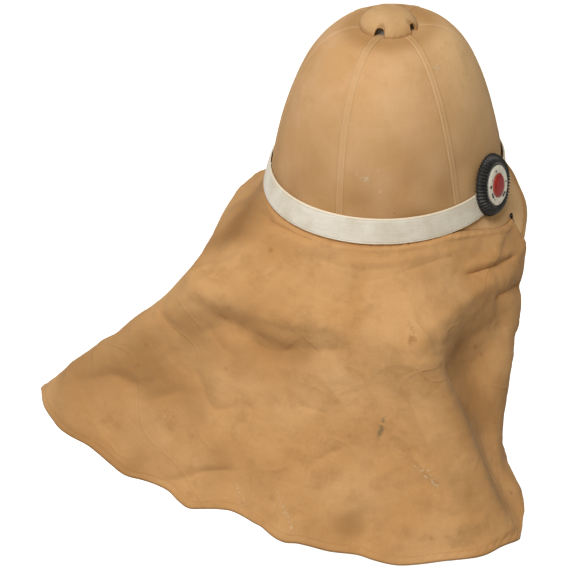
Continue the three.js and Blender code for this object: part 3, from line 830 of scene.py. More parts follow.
@dataclass(frozen=True)
class WhitenedLeather:
    """Cowhide strap whitened with pipeclay: chalky white with a greyer wear, cream at its edges."""

    name: str = "whitened leather"
    colour: str = "#F4F1E9"
    worn: str = "#E4DED0"
    edge: str = "#F0E2C8"
    dirt: str = "#8A7A5C"

    def make(self) -> bpy.types.Material:
        """Material with pores, fine cracks along the strap and cream creased edges."""
        work = Finish(self.name)
        place = work.space()
        wear = work.spread(work.cloud(place, 0.03, 5.0, 0.6), 0.38, 0.66)
        colour = work.tint(wear, linear(self.colour), linear(self.worn))
        streaks = work.cloud(work.grain(0.12, 1.0), 0.0022, 4.0, 0.6)
        colour = work.tint(work.spread(streaks, 0.42, 0.7, (0.0, 0.32)), colour, linear(self.worn))
        colour = work.tint(work.mark("edge"), colour, linear(self.edge))
        grime = work.spread(work.cloud(place, 0.006, 4.0, 0.7), 0.6, 0.8, (0.0, 0.35))
        colour = work.tint(grime, colour, linear(self.dirt))
        # The soil mark darkens the creases: dirt and painted shade
        colour = work.tint(work.mark("soil"), colour, linear(self.dirt))
        # Pores of cowhide are about 0.3 mm; drawn at 1.1 mm so that they show
        pores = work.cloud(place, 0.0011, 2.0, 0.6)
        normal = work.relief(streaks, 0.00035)
        normal = work.relief(pores, 0.00012, normal)
        work.set(Base_Color=colour, Normal=normal, Roughness=work.spread(wear, 0, 1, (0.5, 0.68)))
        work.set(IOR=1.5, Specular_IOR_Level=0.4)
        return work.material


@dataclass(frozen=True)
class StoveEnamel:
    """Coloured enamel baked on pressed sheet metal: smooth and glossy, chipped to the dark base. On
    the black pressing the chip mark lays a lighter grey painted highlight along the flute crests.
    """

    name: str
    colour: str
    shade: str
    bare_base_and_highlight: str = "#1B1A18"
    roughness: float = 0.32
    # Colour of the thin rim where the next pressing's enamel has bled in
    rim: str = "#C58A72"

    def make(self) -> bpy.types.Material:
        """Material with uneven colour, chips and dull scratches."""
        work = Finish(self.name)
        place = work.space()
        uneven = work.spread(work.cloud(place, 0.006, 4.0, 0.6), 0.4, 0.66)
        colour = work.tint(uneven, linear(self.colour), linear(self.shade))
        colour = work.tint(work.mark("rim"), colour, linear(self.rim))
        # On the black rosette the chip mark is painted highlight on the flute crests
        chips = work.spread(work.mark("chip"), 0.42, 0.58)
        colour = work.tint(chips, colour, linear(self.bare_base_and_highlight))
        fine = work.cloud(place, 0.0012, 3.0, 0.6)
        normal = work.relief(fine, 0.00005)
        rough = work.spread(chips, 0.0, 1.0, (self.roughness, 0.75))
        work.set(Base_Color=colour, Normal=normal, Roughness=rough, IOR=1.5, Specular_IOR_Level=0.3)
        return work.material


@dataclass(frozen=True)
class DullMetal:
    """Bare metal that has weathered: zinc sheet or japanned wire."""

    name: str
    colour: str
    tarnish: str
    metallic: float = 1.0
    roughness: tuple[float, float] = (0.35, 0.6)

    def make(self) -> bpy.types.Material:
        """Material with clouded tarnish that is duller where it is darker."""
        work = Finish(self.name)
        clouds = work.spread(work.cloud(work.space(), 0.005, 5.0, 0.65), 0.36, 0.68)
        colour = work.tint(clouds, linear(self.colour), linear(self.tarnish))
        normal = work.relief(work.cloud(work.space(), 0.0011, 3.0, 0.6), 0.00006)
        work.set(Base_Color=colour, Normal=normal, Metallic=self.metallic)
        work.set(Roughness=work.spread(clouds, 0.0, 1.0, self.roughness))
        return work.material


CROWN_DRILL = WovenCotton(
    "cotton drill on cork", "#D3A674", "#DDB48A", "#A77A43", Weave.TWILL, stitched=True
)
CAP_DRILL = WovenCotton("cotton drill on a button", "#CDA473", "#D6B286", "#8F6835", Weave.TWILL)
BINDING_TAPE = WovenCotton("cotton tape", "#BD9461", "#C7A071", "#7F5A2E", Weave.PLAIN)
NECK_CANVAS = WovenCotton(
    *("cotton canvas", "#CB9A64", "#D6A874", "#8F6434", Weave.PLAIN),
    patch_size=0.075,
    weave_depth=0.00006,
    crumple=0.0013,
    blotches=0.26,
    creases=0.00028,
)
BAND_LEATHER = WhitenedLeather()
# The black's bare colour is a lighter grey: the painted highlight on the flute crests
BLACK_ENAMEL = StoveEnamel("black stove enamel", "#2C2C2D", "#1A1A1B", "#5E5D5A", 0.42)
WHITE_ENAMEL = StoveEnamel("white stove enamel", "#F2F0E8", "#DEDBCF")
RED_ENAMEL = StoveEnamel("red stove enamel", "#AE1F17", "#921711", roughness=0.6)
DULL_ZINC = DullMetal("dull zinc", "#BACBD6", "#8A9AA5", 0.2)
JAPANNED_WIRE = DullMetal("japanned iron wire", "#2B2622", "#171412", 0.6)


# ---------------------------------------------------------------- the pieces


def settle(
    piece: bpy.types.Object, finish: bpy.types.Material, slot: str, *nodes: str
) -> bpy.types.Object:
    """Dresses a piece and ties it to the frame.

    Args:
        piece: the object.
        finish: its material.
        slot: the record's material slot; not used.
        nodes: the frame's nodes that it stands for.

    Returns:
        The piece.
    """
    piece.data.materials.append(finish)
    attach(piece, "root")
    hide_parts(*nodes)
    log.info("%s: %d faces", piece.name, len(piece.data.polygons))
    return piece


@dataclass
class HelmetShell:
    """Cork body covered with drill: a crown of six panels with raised seams, and the brim."""

    form: HelmetForm
    seam_count: int = 6
    seam_width: float = 6.0
    seam_raise: float = 0.42
    seam_groove: float = 0.14
    seam_end: float = 14.0
    seam_columns: int = 17
    seam_reach: float = 1.5
    panel_columns: int = 44
    crown_rows: int = 128
    brim_rows: int = 44
    inner_brim_rows: int = 16
    inner_crown_rows: int = 40

    # Seams and panels lean round the crown on their way down: way, degrees
    LEAN = Table(
        "way turn",
        [(0, -1.4), (0.2, -1.0), (0.45, 0.6), (0.65, 2.6), (0.85, 4.0), (1, 4.2), (2, 4.2)],
    )
    # Unevenness of the cork under its cloth: seed, spacing and height in mm
    SWELLS = ((11, 34.0, 0.45), (12, 13.0, 0.12))
    # Shallow dents and swells of the cork: turn, way, radius and height in mm
    DENTS = (
        (74.0, 0.16, 16.0, -1.0),
        (20.0, 0.2, 20.0, -0.5),
        (40.0, 0.84, 16.0, -0.6),
        (15.0, 0.82, 14.0, -0.45),
        (-20.0, 0.6, 30.0, 0.5),
        (58.0, 0.5, 26.0, 0.4),
        (112.0, 0.74, 24.0, 2.4),
        (30.0, 0.1, 9.0, -0.5),
    )
    # Rubbed spots: turn, way, length and width in mm, strength of the light rub
    SCUFFS = (
        (14.5, 0.63, 9.0, 3.6, 0.5),
        (16.0, 0.632, 4.0, 3.0, 0.35),
        (21.5, 0.605, 12.0, 2.4, 0.5),
        (24.0, 0.684, 2.2, 2.0, 0.7),
        (67.0, 0.235, 9.0, 6.0, 0.5),
    )
    # Place across a seam that is given to what lies on no seam
    OFF_SEAM = 9.0

    def places(self) -> tuple[Array, Array, Array]:
        """Columns of the shell: seam middle in degrees, place across it and share of the panel."""
        across = np.linspace(-self.seam_reach, self.seam_reach, self.seam_columns)
        shares = np.arange(1, self.panel_columns + 1) / (self.panel_columns + 1)
        place = np.concatenate([across, np.full(len(shares), self.seam_reach)])
        share = np.concatenate([np.zeros(len(across)), shares])
        middles = np.arange(self.seam_count) * 360.0 / self.seam_count
        middle = np.repeat(middles, len(place))
        return middle, np.tile(place, self.seam_count), np.tile(share, self.seam_count)

    def turns(self, way: Array) -> Array:
        """Turn of every column at every way, so that seams keep their width."""
        middle, place, share = (values[:, None] for values in self.places())
        rear = self.form.crown_point(np.zeros_like(way), np.minimum(way, 1.0))
        side = self.form.crown_point(np.full_like(way, 90.0), np.minimum(way, 1.0))
        radius = (np.hypot(rear[:, 0], rear[:, 1]) + np.hypot(side[:, 0], side[:, 1])) / 2
        half = np.degrees(self.seam_width / 2 / np.minimum(radius, self.form.foot_radius))[None]
        rest = 360.0 / self.seam_count - 2 * self.seam_reach * half
        return middle + place * half + share * rest + self.LEAN.read("turn", way)

    def build(self) -> bpy.types.Object:
        """Makes the shell's skin, outside and inside."""
        outer = np.concatenate(
            [np.linspace(0, 1, self.crown_rows), np.linspace(1, 2, self.brim_rows)[1:]]
        )
        inner = np.concatenate(
            [np.linspace(2, 1, self.inner_brim_rows), np.linspace(1, 0, self.inner_crown_rows)[1:]]
        )
        way = np.concatenate([outer, inner])
        turn = self.turns(way)
        way = np.broadcast_to(way, turn.shape)
        points, normals = self.form.point(turn, way), self.form.normal(turn, way)
        outside = np.arange(turn.shape[1]) < len(outer)
        rise = np.where(outside, self.relief(way, points), -self.form.wall)
        _, place, share = self.places()
        seam = np.broadcast_to(np.where(share > 0, self.OFF_SEAM, place)[:, None], turn.shape)
        seam = np.where(outside & (way < 0.97), seam, self.OFF_SEAM)
        soil, chalk = self.wear(way, points)
        marks = {"seam": seam, "soil": soil * outside, "chalk": chalk * outside}
        # Painted highlight: a lighter tint towards the crown's silhouettes at the wearer's right
        # and left rear, where sheen shows at a slant, and on a lit patch high on the rear right
        marks["fade"] = 0.9 * bump(turn - 100.0, 36.0) + 0.6 * bump(turn + 52.0, 24.0)
        marks["fade"] = marks["fade"] + 0.3 * bump(turn - 24.0, 22.0) * bump(way - 0.4, 0.22)
        near, far = self.panel_grain(turn, points)
        skin = Skin(points + scaled(normals, rise), grain=near, grain_far=far, marks=marks)
        return skin.make("helmet_shell_cloth", 50.0)

    def panel_grain(self, turn: Array, points: Array) -> tuple[Array, Array]:
        """Grain of each panel, straight down its middle, at both sides of each column of faces."""
        middle, place, share = self.places()
        half = 180.0 / self.seam_count
        panel = np.where((place < 0) & (share == 0), middle - half, middle + half)[:, None]
        radius = np.hypot(points[..., 0], points[..., 1])
        run = run_of(points, 1)
        following = np.concatenate([turn[1:], turn[:1] + 360.0])
        radius_after, run_after = np.roll(radius, -1, 0), np.roll(run, -1, 0)
        near = np.stack([np.radians(turn - panel) * radius, run], -1)
        far = np.stack([np.radians(following - panel) * radius_after, run_after], -1)
        return tuple(np.concatenate([g, g[:, :1]], 1) for g in (near, far))

    def relief(self, way: Array, points: Array) -> Array:
        """Height of seams, puckers, dents and unevenness over the plain form, in mm."""
        _, place, share = (values[:, None] for values in self.places())
        on_seam = share == 0
        above_band = ease(self.seam_end - 1.0, self.seam_end + 1.0, points[..., 2]) * (way <= 1.0)
        strip = self.seam_raise * (1.0 - ease(0.8, 1.12, np.abs(place)))
        groove = self.seam_groove * bump(place, 0.16)
        run = run_of(points, 1)
        pucker = 0.05 * np.sin(2 * np.pi * run / 8.0) * bump(np.abs(place) - 1.2, 0.5)
        rise = np.where(on_seam, strip - groove * (np.abs(place) < 0.8) + pucker, 0.0) * above_band
        rise = rise + swells(points, self.SWELLS)
        for at, down, radius, height in self.DENTS:
            centre = self.form.point(np.array(at), np.array(down))
            rise = rise + height * bump(np.linalg.norm(points - centre, axis=-1), radius)
        rough = Unevenness(13, 2.4).at(points)
        for at, down, length, width, strength in self.SCUFFS:
            rise = rise + 0.35 * strength * rough * self.spot(points, at, down, length, width)
        return rise

    def spot(self, points: Array, turn: float, way: float, length: float, width: float) -> Array:
        """Bell of a rubbed spot that slants up to the right, at points."""
        centre = self.form.point(np.array(turn), np.array(way))
        normal = self.form.normal(np.array(turn), np.array(way))
        level = unit(np.cross(UP, normal))
        along = unit(level * -0.9 + np.cross(normal, level) * 0.45)
        off = points - centre
        run, beside = off @ along, off @ np.cross(normal, along)
        return bump(run, length) * bump(beside, width) * bump(off @ normal, 12.0)

    def wear(self, way: Array, points: Array) -> tuple[Array, Array]:
        """Soil round the vent, seam dirt with painted shade beside the raised strips, darkening
        towards the crown's foot, and light rubbed spots.
        """
        _, place, share = (values[:, None] for values in self.places())
        patch = Unevenness(21, 22.0).at(points)
        # Darker just beside each raised seam strip: painted shade with seam dirt
        beside_seam = np.where(share == 0, bump(np.abs(place) - 1.25, 0.22), 0.0) * (way < 1.0)
        # Darker towards the crown's foot, in patches
        low = ease(0.3, 0.9, way) * (way < 1.0) * (0.42 + 0.36 * patch)
        vent = bump(way - 0.06, 0.06) * 0.6
        soil = np.clip(0.16 * beside_seam + low + vent, 0.0, 1.0)
        chalk = np.zeros(points.shape[:-1])
        for at, down, length, width, strength in self.SCUFFS:
            chalk = chalk + strength * self.spot(points, at, down, length, width)
        return soil, np.clip(chalk, 0.0, 1.0)

    def dress(self, piece: bpy.types.Object) -> None:
        """Covers the shell with drill."""
        settle(piece, CROWN_DRILL.make(), "crown_cloth", "helmet_shell")


@dataclass
class BrimBinding:
    """Cotton tape folded over the brim's edge and stitched through."""

    form: HelmetForm
    wall: float = 0.9
    clearance: float = 0.3
    groove: float = 0.3
    sewing_at: float = 0.7
    columns: int = 400

    # Upper face of the tape: mm from its edge, share of the sewn groove's depth
    FACE = ((0.0, 0), (0.35, 0), (0.7, 1), (1.05, 0), (2.0, 0), (3.0, 0))

    def profile(self) -> Array:
        """Loop of mm along and off the brim's face, from the upper edge round to the lower."""
        width, near = self.form.binding_width, self.clearance
        far = near + self.wall
        top = [(-width + at, far - self.groove * depth) for at, depth in self.FACE]
        middle, half = -self.form.wall / 2, self.form.wall / 2 + far
        angles = np.linspace(np.pi / 2, -np.pi / 2, 15)
        nose = [
            (far * 1.15 * max(math.cos(a), 0.0) ** 0.6, middle + half * math.sin(a)) for a in angles
        ]
        bottom = [(x, -self.form.wall - y) for x, y in reversed(top)]
        inner = [(-width, -self.form.wall - near), (near, -self.form.wall - near)]
        return np.array([*top, *nose, *bottom, *inner, (near, near), (-width, near)])

    def build(self) -> bpy.types.Object:
        """Makes the tape's skin."""
        turn = np.linspace(0.0, 360.0, self.columns, endpoint=False)[:, None]
        loop = self.profile()
        turn, along = np.broadcast_arrays(turn, loop[None, :, 0])
        off = np.broadcast_to(loop[None, :, 1], turn.shape)
        points = self.form.beside_edge(turn, along, off)
        middle_run = run_of(self.form.edge_point(np.linspace(0.0, 360.0, self.columns + 1)), 0)
        loop_run = np.append(run_of(loop, 0), 0.0)
        grain = np.stack(np.meshgrid(middle_run, loop_run, indexing="ij"), -1)
        sewn = np.abs(np.abs(along + self.form.binding_width) - self.sewing_at) < 0.2
        skin = Skin(points, grain=grain, marks={"soil": 0.5 * sewn})
        return skin.make("brim_binding_tape", 60.0)

    def dress(self, piece: bpy.types.Object) -> None:
        """Gives the binding its tape."""
        settle(piece, BINDING_TAPE.make(), "binding_tape", "brim_binding")


@dataclass
class HatBand:
    """White leather strap round the foot of the crown, with a crease pressed along each edge."""

    form: HelmetForm
    width: float = 22.9
    wall: float = 1.4
    lift: float = 2.2
    lift_rear: float = 0.65
    lift_side: float = 1.97
    foot_off: float = 4.3
    top_off: float = 1.1
    gape: float = 3.2
    gape_turn: float = 116.0
    gape_reach: float = 17.0
    crease_at: float = 1.7
    crease_depth: float = 0.3
    columns: int = 420

    def foot(self, turn: float | Array) -> Array:
        """Height of the band's lower edge."""
        angle = np.radians(turn)
        return self.lift + self.lift_rear * np.cos(angle) + self.lift_side * np.cos(2 * angle)

    def point(self, turn: Array, share: Array, off: Array) -> Array:
        """Point on the band's face at a share of its width from the lower edge."""
        z = self.foot(turn) + share * self.width
        gape = self.gape * bump(turn - self.gape_turn, self.gape_reach) * share
        plain = blend(self.foot_off, self.top_off, share)
        return self.form.beside_crown(turn, z, plain + off + gape)

    def build(self) -> bpy.types.Object:
        """Makes the strap's skin."""
        # Rows lie close together over the rounded edges and the creases beside them
        across = np.concatenate(
            [
                np.linspace(0.0, 0.6, 4),
                np.linspace(1.0, 2.4, 8),
                np.linspace(3.4, self.width - 3.4, 16),
                self.width - np.linspace(2.4, 1.0, 8),
                self.width - np.linspace(0.6, 0.0, 4),
            ]
        )
        edge = np.minimum(across, self.width - across)
        thickness = self.wall * (0.45 + 0.55 * ease(0.0, 0.9, edge)) + 0.1 * ease(3.0, 10.0, edge)
        thickness = thickness - self.crease_depth * bump(edge - self.crease_at, 0.35)
        inner = np.linspace(self.width, 0.0, 8)[1:-1]
        shares = np.concatenate([across, [self.width], inner, [0.0]]) / self.width
        offs = np.concatenate([thickness, np.zeros(len(inner) + 2)])
        turn = np.linspace(0.0, 360.0, self.columns, endpoint=False)[:, None]
        turn, share = np.broadcast_arrays(turn, shares[None])
        plain = self.point(turn, share, np.zeros_like(share))
        wave = 0.18 * Unevenness(31, 26.0).at(plain) + 0.1
        frayed = 0.35 * Unevenness(32, 3.0).at(plain) * bump(turn - 76.0, 4.0) * (share < 0.1)
        points = self.point(turn, share + frayed / self.width, offs[None] + wave)
        run = run_of(self.point(np.linspace(0, 360, self.columns + 1), 0.5, 0.0), 0)
        grain = np.stack(np.meshgrid(run, np.append(shares, 0.0) * self.width, indexing="ij"), -1)
        rim = np.minimum(share, 1.0 - share) * self.width
        outer = np.arange(len(shares)) < len(across)
        lip = (1.0 - ease(0.3, 0.9, rim)) * outer
        # Darker along each crease and more so towards the wearer's right: crease dirt, with painted
        # shade in the increase to the right
        grime = 0.55 * bump(rim - self.crease_at, 0.3) * outer * (0.4 + 0.5 * ease(30, 80, turn))
        marks = {"edge": lip, "soil": grime * (0.6 + 0.4 * Unevenness(33, 9.0).at(plain))}
        return Skin(points, grain=grain, marks=marks).make("hat_band_strap", 70.0)

    def dress(self, piece: bpy.types.Object) -> None:
        """Gives the band its leather."""
        settle(piece, BAND_LEATHER.make(), "band_leather", "hat_band")


@dataclass
class Vent:
    """Zinc collar in the crown's vent hole and the cloth-covered cap over it."""

    form: HelmetForm
    radius: float = 19.0
    collar_wall: float = 1.0
    cap_radius: float = 26.2
    cap_height: float = 14.7
    cap_wall: float = 1.6
    profile: float = 2.0
    rounding: float = 2.5
    notch_turns: tuple[float, ...] = (4.0, 85.0, 172.0, 263.0)
    notch_width: float = 10.4
    notch_height: float = 9.0
    tilt: float = 5.5
    tilt_turn: float = 48.0
    shift: float = 3.2
    shift_turn: float = -14.0
    collar_show: float = 1.8
    notch_columns: int = 25
    plain_columns: int = 32
    rows: int = 44
    gather_count: float = 26.0
    gather_depth: float = 0.22

    # Lumps of the stretched cloth: seed, spacing and height in mm
    LUMPS = ((41, 12.0, 0.5), (42, 5.0, 0.25))

    @property
    def cap_foot(self) -> float:
        """Height of the cap's rim."""
        return float(self.form.height_over(np.array(0.0), np.array(self.cap_radius))) + 1.1

    def build_collar(self) -> bpy.types.Object:
        """Makes the collar with a rolled upper lip."""
        foot = float(self.form.height_over(np.array(self.radius), np.array(0.0)))
        foot -= self.form.wall + 2 * self.collar_wall
        top = self.cap_foot + self.collar_show
        bore, lip = self.radius - self.collar_wall, 0.45
        loop = rounded(
            [
                (bore, foot, 0.3),
                (self.radius, foot, 0.3),
                (self.radius, top - 2.0, 0.3),
                (self.radius + lip, top - 1.2, 0.5),
                (self.radius + lip, top, 0.5),
                (bore, top, 0.4),
            ]
        )
        return lathe(loop, 144).make("vent_collar_zinc", 50.0)

    def build_cap(self) -> bpy.types.Object:
        """Makes the cap, its notches and the turned-in edge of its cloth."""
        half = math.degrees(self.notch_width / 2 / self.cap_radius)
        across = np.sin(np.linspace(-np.pi / 2, np.pi / 2, self.notch_columns))
        rest = np.linspace(0.0, 1.0, self.plain_columns + 2)[1:-1]
        pieces = []
        after = (*self.notch_turns[1:], self.notch_turns[0] + 360)
        for turn, following in zip(self.notch_turns, after):
            pieces += [turn + across * half, blend(turn + half, following - half, rest)]
        turns = np.concatenate(pieces)
        arch = self.notch_height * np.maximum(0.0, 1.0 - np.abs(across) ** 3) ** (1 / 3)
        rise = np.concatenate([arch, np.zeros(len(rest))])
        rises = np.tile(rise, len(self.notch_turns))[:, None]
        steps = np.sin(np.linspace(0.0, np.pi / 2, self.rows))[None]
        sides = []
        for height, radius in (
            (self.cap_height, self.cap_radius),
            (self.cap_height - self.cap_wall, self.cap_radius - self.cap_wall),
        ):
            z = blend(rises, height, steps)
            inside = np.maximum(0.0, 1.0 - (z / height) ** self.profile)
            reach = radius * inside ** (1 / self.rounding)
            reach[:, -1] = 0.0
            sides.append((reach, z))
        (reach, z), (inner_reach, inner_z) = sides
        from_rim = z - rises
        turn = turns[:, None]
        gather = self.gather_depth * np.sin(np.radians(turn) * self.gather_count)
        gather = gather * bump(from_rim - 3.0, 2.6) * ease(8, 20, reach)
        hem = 0.3 * (1.0 - ease(1.2, 2.0, from_rim)) - 0.25 * bump(from_rim - 2.0, 0.5)
        outer = outward(turn) * (reach + (gather + hem) * ease(2, 8, reach))[..., None]
        outer = outer + scaled(UP, z + self.cap_foot)
        inner = outward(turn) * inner_reach[..., None] + scaled(UP, inner_z + self.cap_foot)
        outer = outer + scaled(UP, swells(outer, self.LUMPS) * ease(2.0, 10.0, from_rim))
        outer[:, -1] = outer[:, -1].mean(0)
        sections = np.concatenate([outer[:, ::-1], inner], 1)
        plan = np.concatenate([sections, sections[:1]], 0)
        plan = np.concatenate([plan, plan[:, :1]], 1)
        rim_soil = 0.55 * bump(from_rim[:, ::-1] - 1.2, 1.4)
        marks = {"soil": np.concatenate([rim_soil, np.zeros(rim_soil.shape)], 1)}
        skin = Skin(self.askew(sections), grain=plan[..., :2], marks=marks)
        return skin.make("vent_cap_cloth", 60.0)

    def askew(self, points: Array) -> Array:
        """Points of the cap, tipped and shifted a little as the worn one sits."""
        towards = outward(np.array(self.tilt_turn))
        foot = UP * self.cap_foot
        lean = math.radians(self.tilt)
        along = (points - foot) @ towards
        height = (points - foot) @ UP
        turned = scaled(towards, along * (math.cos(lean) - 1) + height * math.sin(lean))
        lowered = scaled(UP, height * (math.cos(lean) - 1) - along * math.sin(lean))
        return points + turned + lowered + outward(np.array(self.shift_turn)) * self.shift

    def dress(self, collar: bpy.types.Object, cap: bpy.types.Object) -> None:
        """Gives the collar its zinc and the cap its drill."""
        settle(collar, DULL_ZINC.make(), "collar_zinc", "vent_collar")
        settle(cap, CAP_DRILL.make(), "cap_cloth", "vent_cap")


@dataclass
class Cockade:
    """Round cockade of three enamelled pressings at the wearer's right: black, white and red."""

    form: HelmetForm
    band: HatBand
    radius: float = 29.2
    ring_radius: float = 18.6
    boss_radius: float = 11.0
    wall: float = 1.8
    edge_drop: float = 5.0
    rib_count: int = 50
    rib_raise: float = 1.3
    rib_reach: float = 1.3
    ring_wall: float = 2.0
    boss_dome: float = 2.6
    turn: float = 88.0
    facing: float = 85.0
    tilt: float = 13.0
    height: float = 22.5
    clearance: float = 0.3

    # Chips in the white enamel: angle from the rear up round the face, radius, half length, width
    CHIPS = (
        (90.0, 14.8, 1.5, 1.1),
        (48.0, 14.3, 0.8, 0.7),
        (24.0, 15.4, 1.3, 1.5),
        (349.0, 14.6, 3.0, 1.3),
        (326.0, 14.8, 1.0, 0.8),
        (290.0, 16.4, 0.9, 0.5),
        (248.0, 13.9, 3.2, 1.2),
        (236.0, 15.6, 1.6, 0.7),
        (196.0, 14.6, 0.8, 1.3),
    )

    def back(self, radius: float | Array) -> Array:
        """Height of the cockade's back over its middle at a radius."""
        return -self.edge_drop * (np.asarray(radius) / self.radius) ** 4

    def place(self) -> Matrix:
        """Turns the cockade to the wearer's right and seats it on the band."""
        out = outward(np.array(self.facing))
        lean = math.radians(self.tilt)
        facing = out * math.cos(lean) + UP * math.sin(lean)
        spin = Vector((0, 0, 1)).rotation_difference(Vector(facing)).to_matrix()
        seat = self.form.beside_crown(np.array(self.turn), np.array(self.height), np.array(0.0))
        around = np.linspace(0.0, 360.0, self.rib_count + 1)
        shift = 0.0
        for radius in (self.ring_radius, self.radius):
            local = outward(around) * radius + UP * self.back(radius)
            back = local @ np.array(spin).T + seat
            beside = np.degrees(np.arctan2(back @ np.cross(out, UP), back @ out))
            wall = self.wall_beside(self.facing + beside, back[:, 2])
            shift = max(shift, float(((wall - back) @ out).max()))
        place = Matrix.Translation(Vector((seat + out * (shift + self.clearance)) * MM))
        return place @ spin.to_4x4()

    def wall_beside(self, turn: Array, z: Array) -> Array:
        """Outermost point of the band or the crown at a turn and a height."""
        share = (z - self.band.foot(turn)) / self.band.width
        band = self.band.point(turn, share, np.array(self.band.wall))
        crown = self.form.beside_crown(turn, z, self.form.flare(np.maximum(z, 0.0)))
        return np.where(((share >= 0) & (share <= 1))[:, None], band, crown)

    def build_rosette(self) -> bpy.types.Object:
        """Makes the fluted outer ring, rounded like a tyre."""
        sides = self.rib_count * 10
        turns = np.linspace(0.0, 360.0, sides, endpoint=False)[:, None]
        rib = (0.5 - 0.5 * np.cos(np.radians(turns) * self.rib_count)) ** 0.8
        bore = self.ring_radius - 2 * self.wall
        seat = self.ring_radius + self.clearance
        share = np.linspace(0.0, 1.0, 26)[None]
        swell = np.sin(np.pi * np.clip(share * 0.93 + 0.05, 0, 1)) ** 0.55
        rim = self.radius - (1.0 - rib) * self.rib_reach
        reach = blend(seat, rim, share)
        ribbed = ease(0.1, 0.4, share)
        top = self.back(reach) + self.wall * blend(1.0, 0.6, share**3)
        top = top + (2.0 * self.rib_raise + 1.5 * rib * self.rib_raise * ribbed) * swell
        every, floor = np.ones((sides, 1)), self.back(bore)
        radii = [bore * every, bore * every, reach, rim, seat * every]
        radii = np.concatenate(radii, 1)
        heights = [floor * every, (floor + self.wall) * every, top, self.back(rim)]
        heights = np.concatenate([*heights, self.back(seat) * every], 1)
        sections = outward(turns) * radii[..., None] + scaled(UP, heights)
        # Flute crests painted lighter grey in the bare colour: a painted highlight along each rib,
        # with patchy rubbed enamel
        rubbed = np.zeros(sections.shape[:2])
        patchy = 0.7 + swells(sections[:, 2:-2], ((51, 5.0, 0.6),))
        rubbed[:, 2:-2] = 0.45 * rib * ribbed * patchy
        skin = Skin(sections, marks={"chip": rubbed})
        return skin.make("cockade_rosette_pressing", 50.0)

    @property
    def ring_foot(self) -> float:
        """Height of the white ring's back."""
        return float(self.back(self.ring_radius - 2 * self.wall)) + self.wall + self.clearance

    def build_ring(self) -> bpy.types.Object:
        """Makes the white ring with its chips."""
        bore, foot = self.boss_radius + self.clearance, self.ring_foot
        top = foot + self.ring_wall
        outer = self.ring_radius
        face = [
            (blend(outer - 0.5, bore + 0.4, s), top + 0.45 * math.sin(math.pi * s) + 0.3 * s)
            for s in np.linspace(0, 1, 22)
        ]
        skin = lathe([(bore, foot), (outer, foot), (outer, top - 0.45), *face, (bore, top)], 240)
        points = skin.sections
        radius = np.hypot(points[..., 0], points[..., 1])
        angle = np.degrees(np.arctan2(points[..., 0], points[..., 1]))
        chip = np.zeros(radius.shape)
        ragged = 0.35 * Unevenness(52, 1.1).at(points)
        for at, centre, length, width in self.CHIPS:
            run = np.radians((angle - at + 180.0) % 360.0 - 180.0) * centre
            far = np.hypot(run / length, (radius - centre) / width)
            chip = np.maximum(chip, 1.0 - ease(0.75, 1.25, far + ragged))
        points[..., 2] -= 0.16 * chip * (points[..., 2] > top - 0.3)
        skin.marks = {"chip": chip}
        return skin.make("cockade_ring_pressing", 45.0)

    def build_boss(self) -> bpy.types.Object:
        """Makes the red domed centre with a thin turned-down rim."""
        foot, top = self.ring_foot, self.ring_foot + self.ring_wall
        dome = [
            (self.boss_radius * math.cos(a) ** 0.9, top + self.boss_dome * math.sin(a))
            for a in np.linspace(0, math.pi / 2 * 0.995, 24)
        ]
        # A pinhole in the middle keeps the faces there from folding over
        axis = 0.02
        loop = [(axis, foot), (self.boss_radius, foot), *dome, (axis, top + self.boss_dome)]
        skin = lathe(loop, 160)
        radius = np.hypot(skin.sections[..., 0], skin.sections[..., 1])
        skin.marks = {
            "chip": 0.3 * ease(0.0, 1.0, Unevenness(53, 3.0).at(skin.sections)),
            "rim": 0.3 * ease(self.boss_radius - 1.0, self.boss_radius - 0.4, radius),
        }
        return skin.make("cockade_boss_pressing", 50.0)

    def dress(
        self, rosette: bpy.types.Object, ring: bpy.types.Object, boss: bpy.types.Object
    ) -> None:
        """Puts the three pressings in place and enamels them."""
        place = self.place()
        for piece in (rosette, ring, boss):
            piece.data.transform(place)
        settle(rosette, BLACK_ENAMEL.make(), "rosette_enamel", "cockade_rosette")
        settle(ring, WHITE_ENAMEL.make(), "ring_enamel", "cockade_ring")
        settle(boss, RED_ENAMEL.make(), "boss_enamel", "cockade_boss")


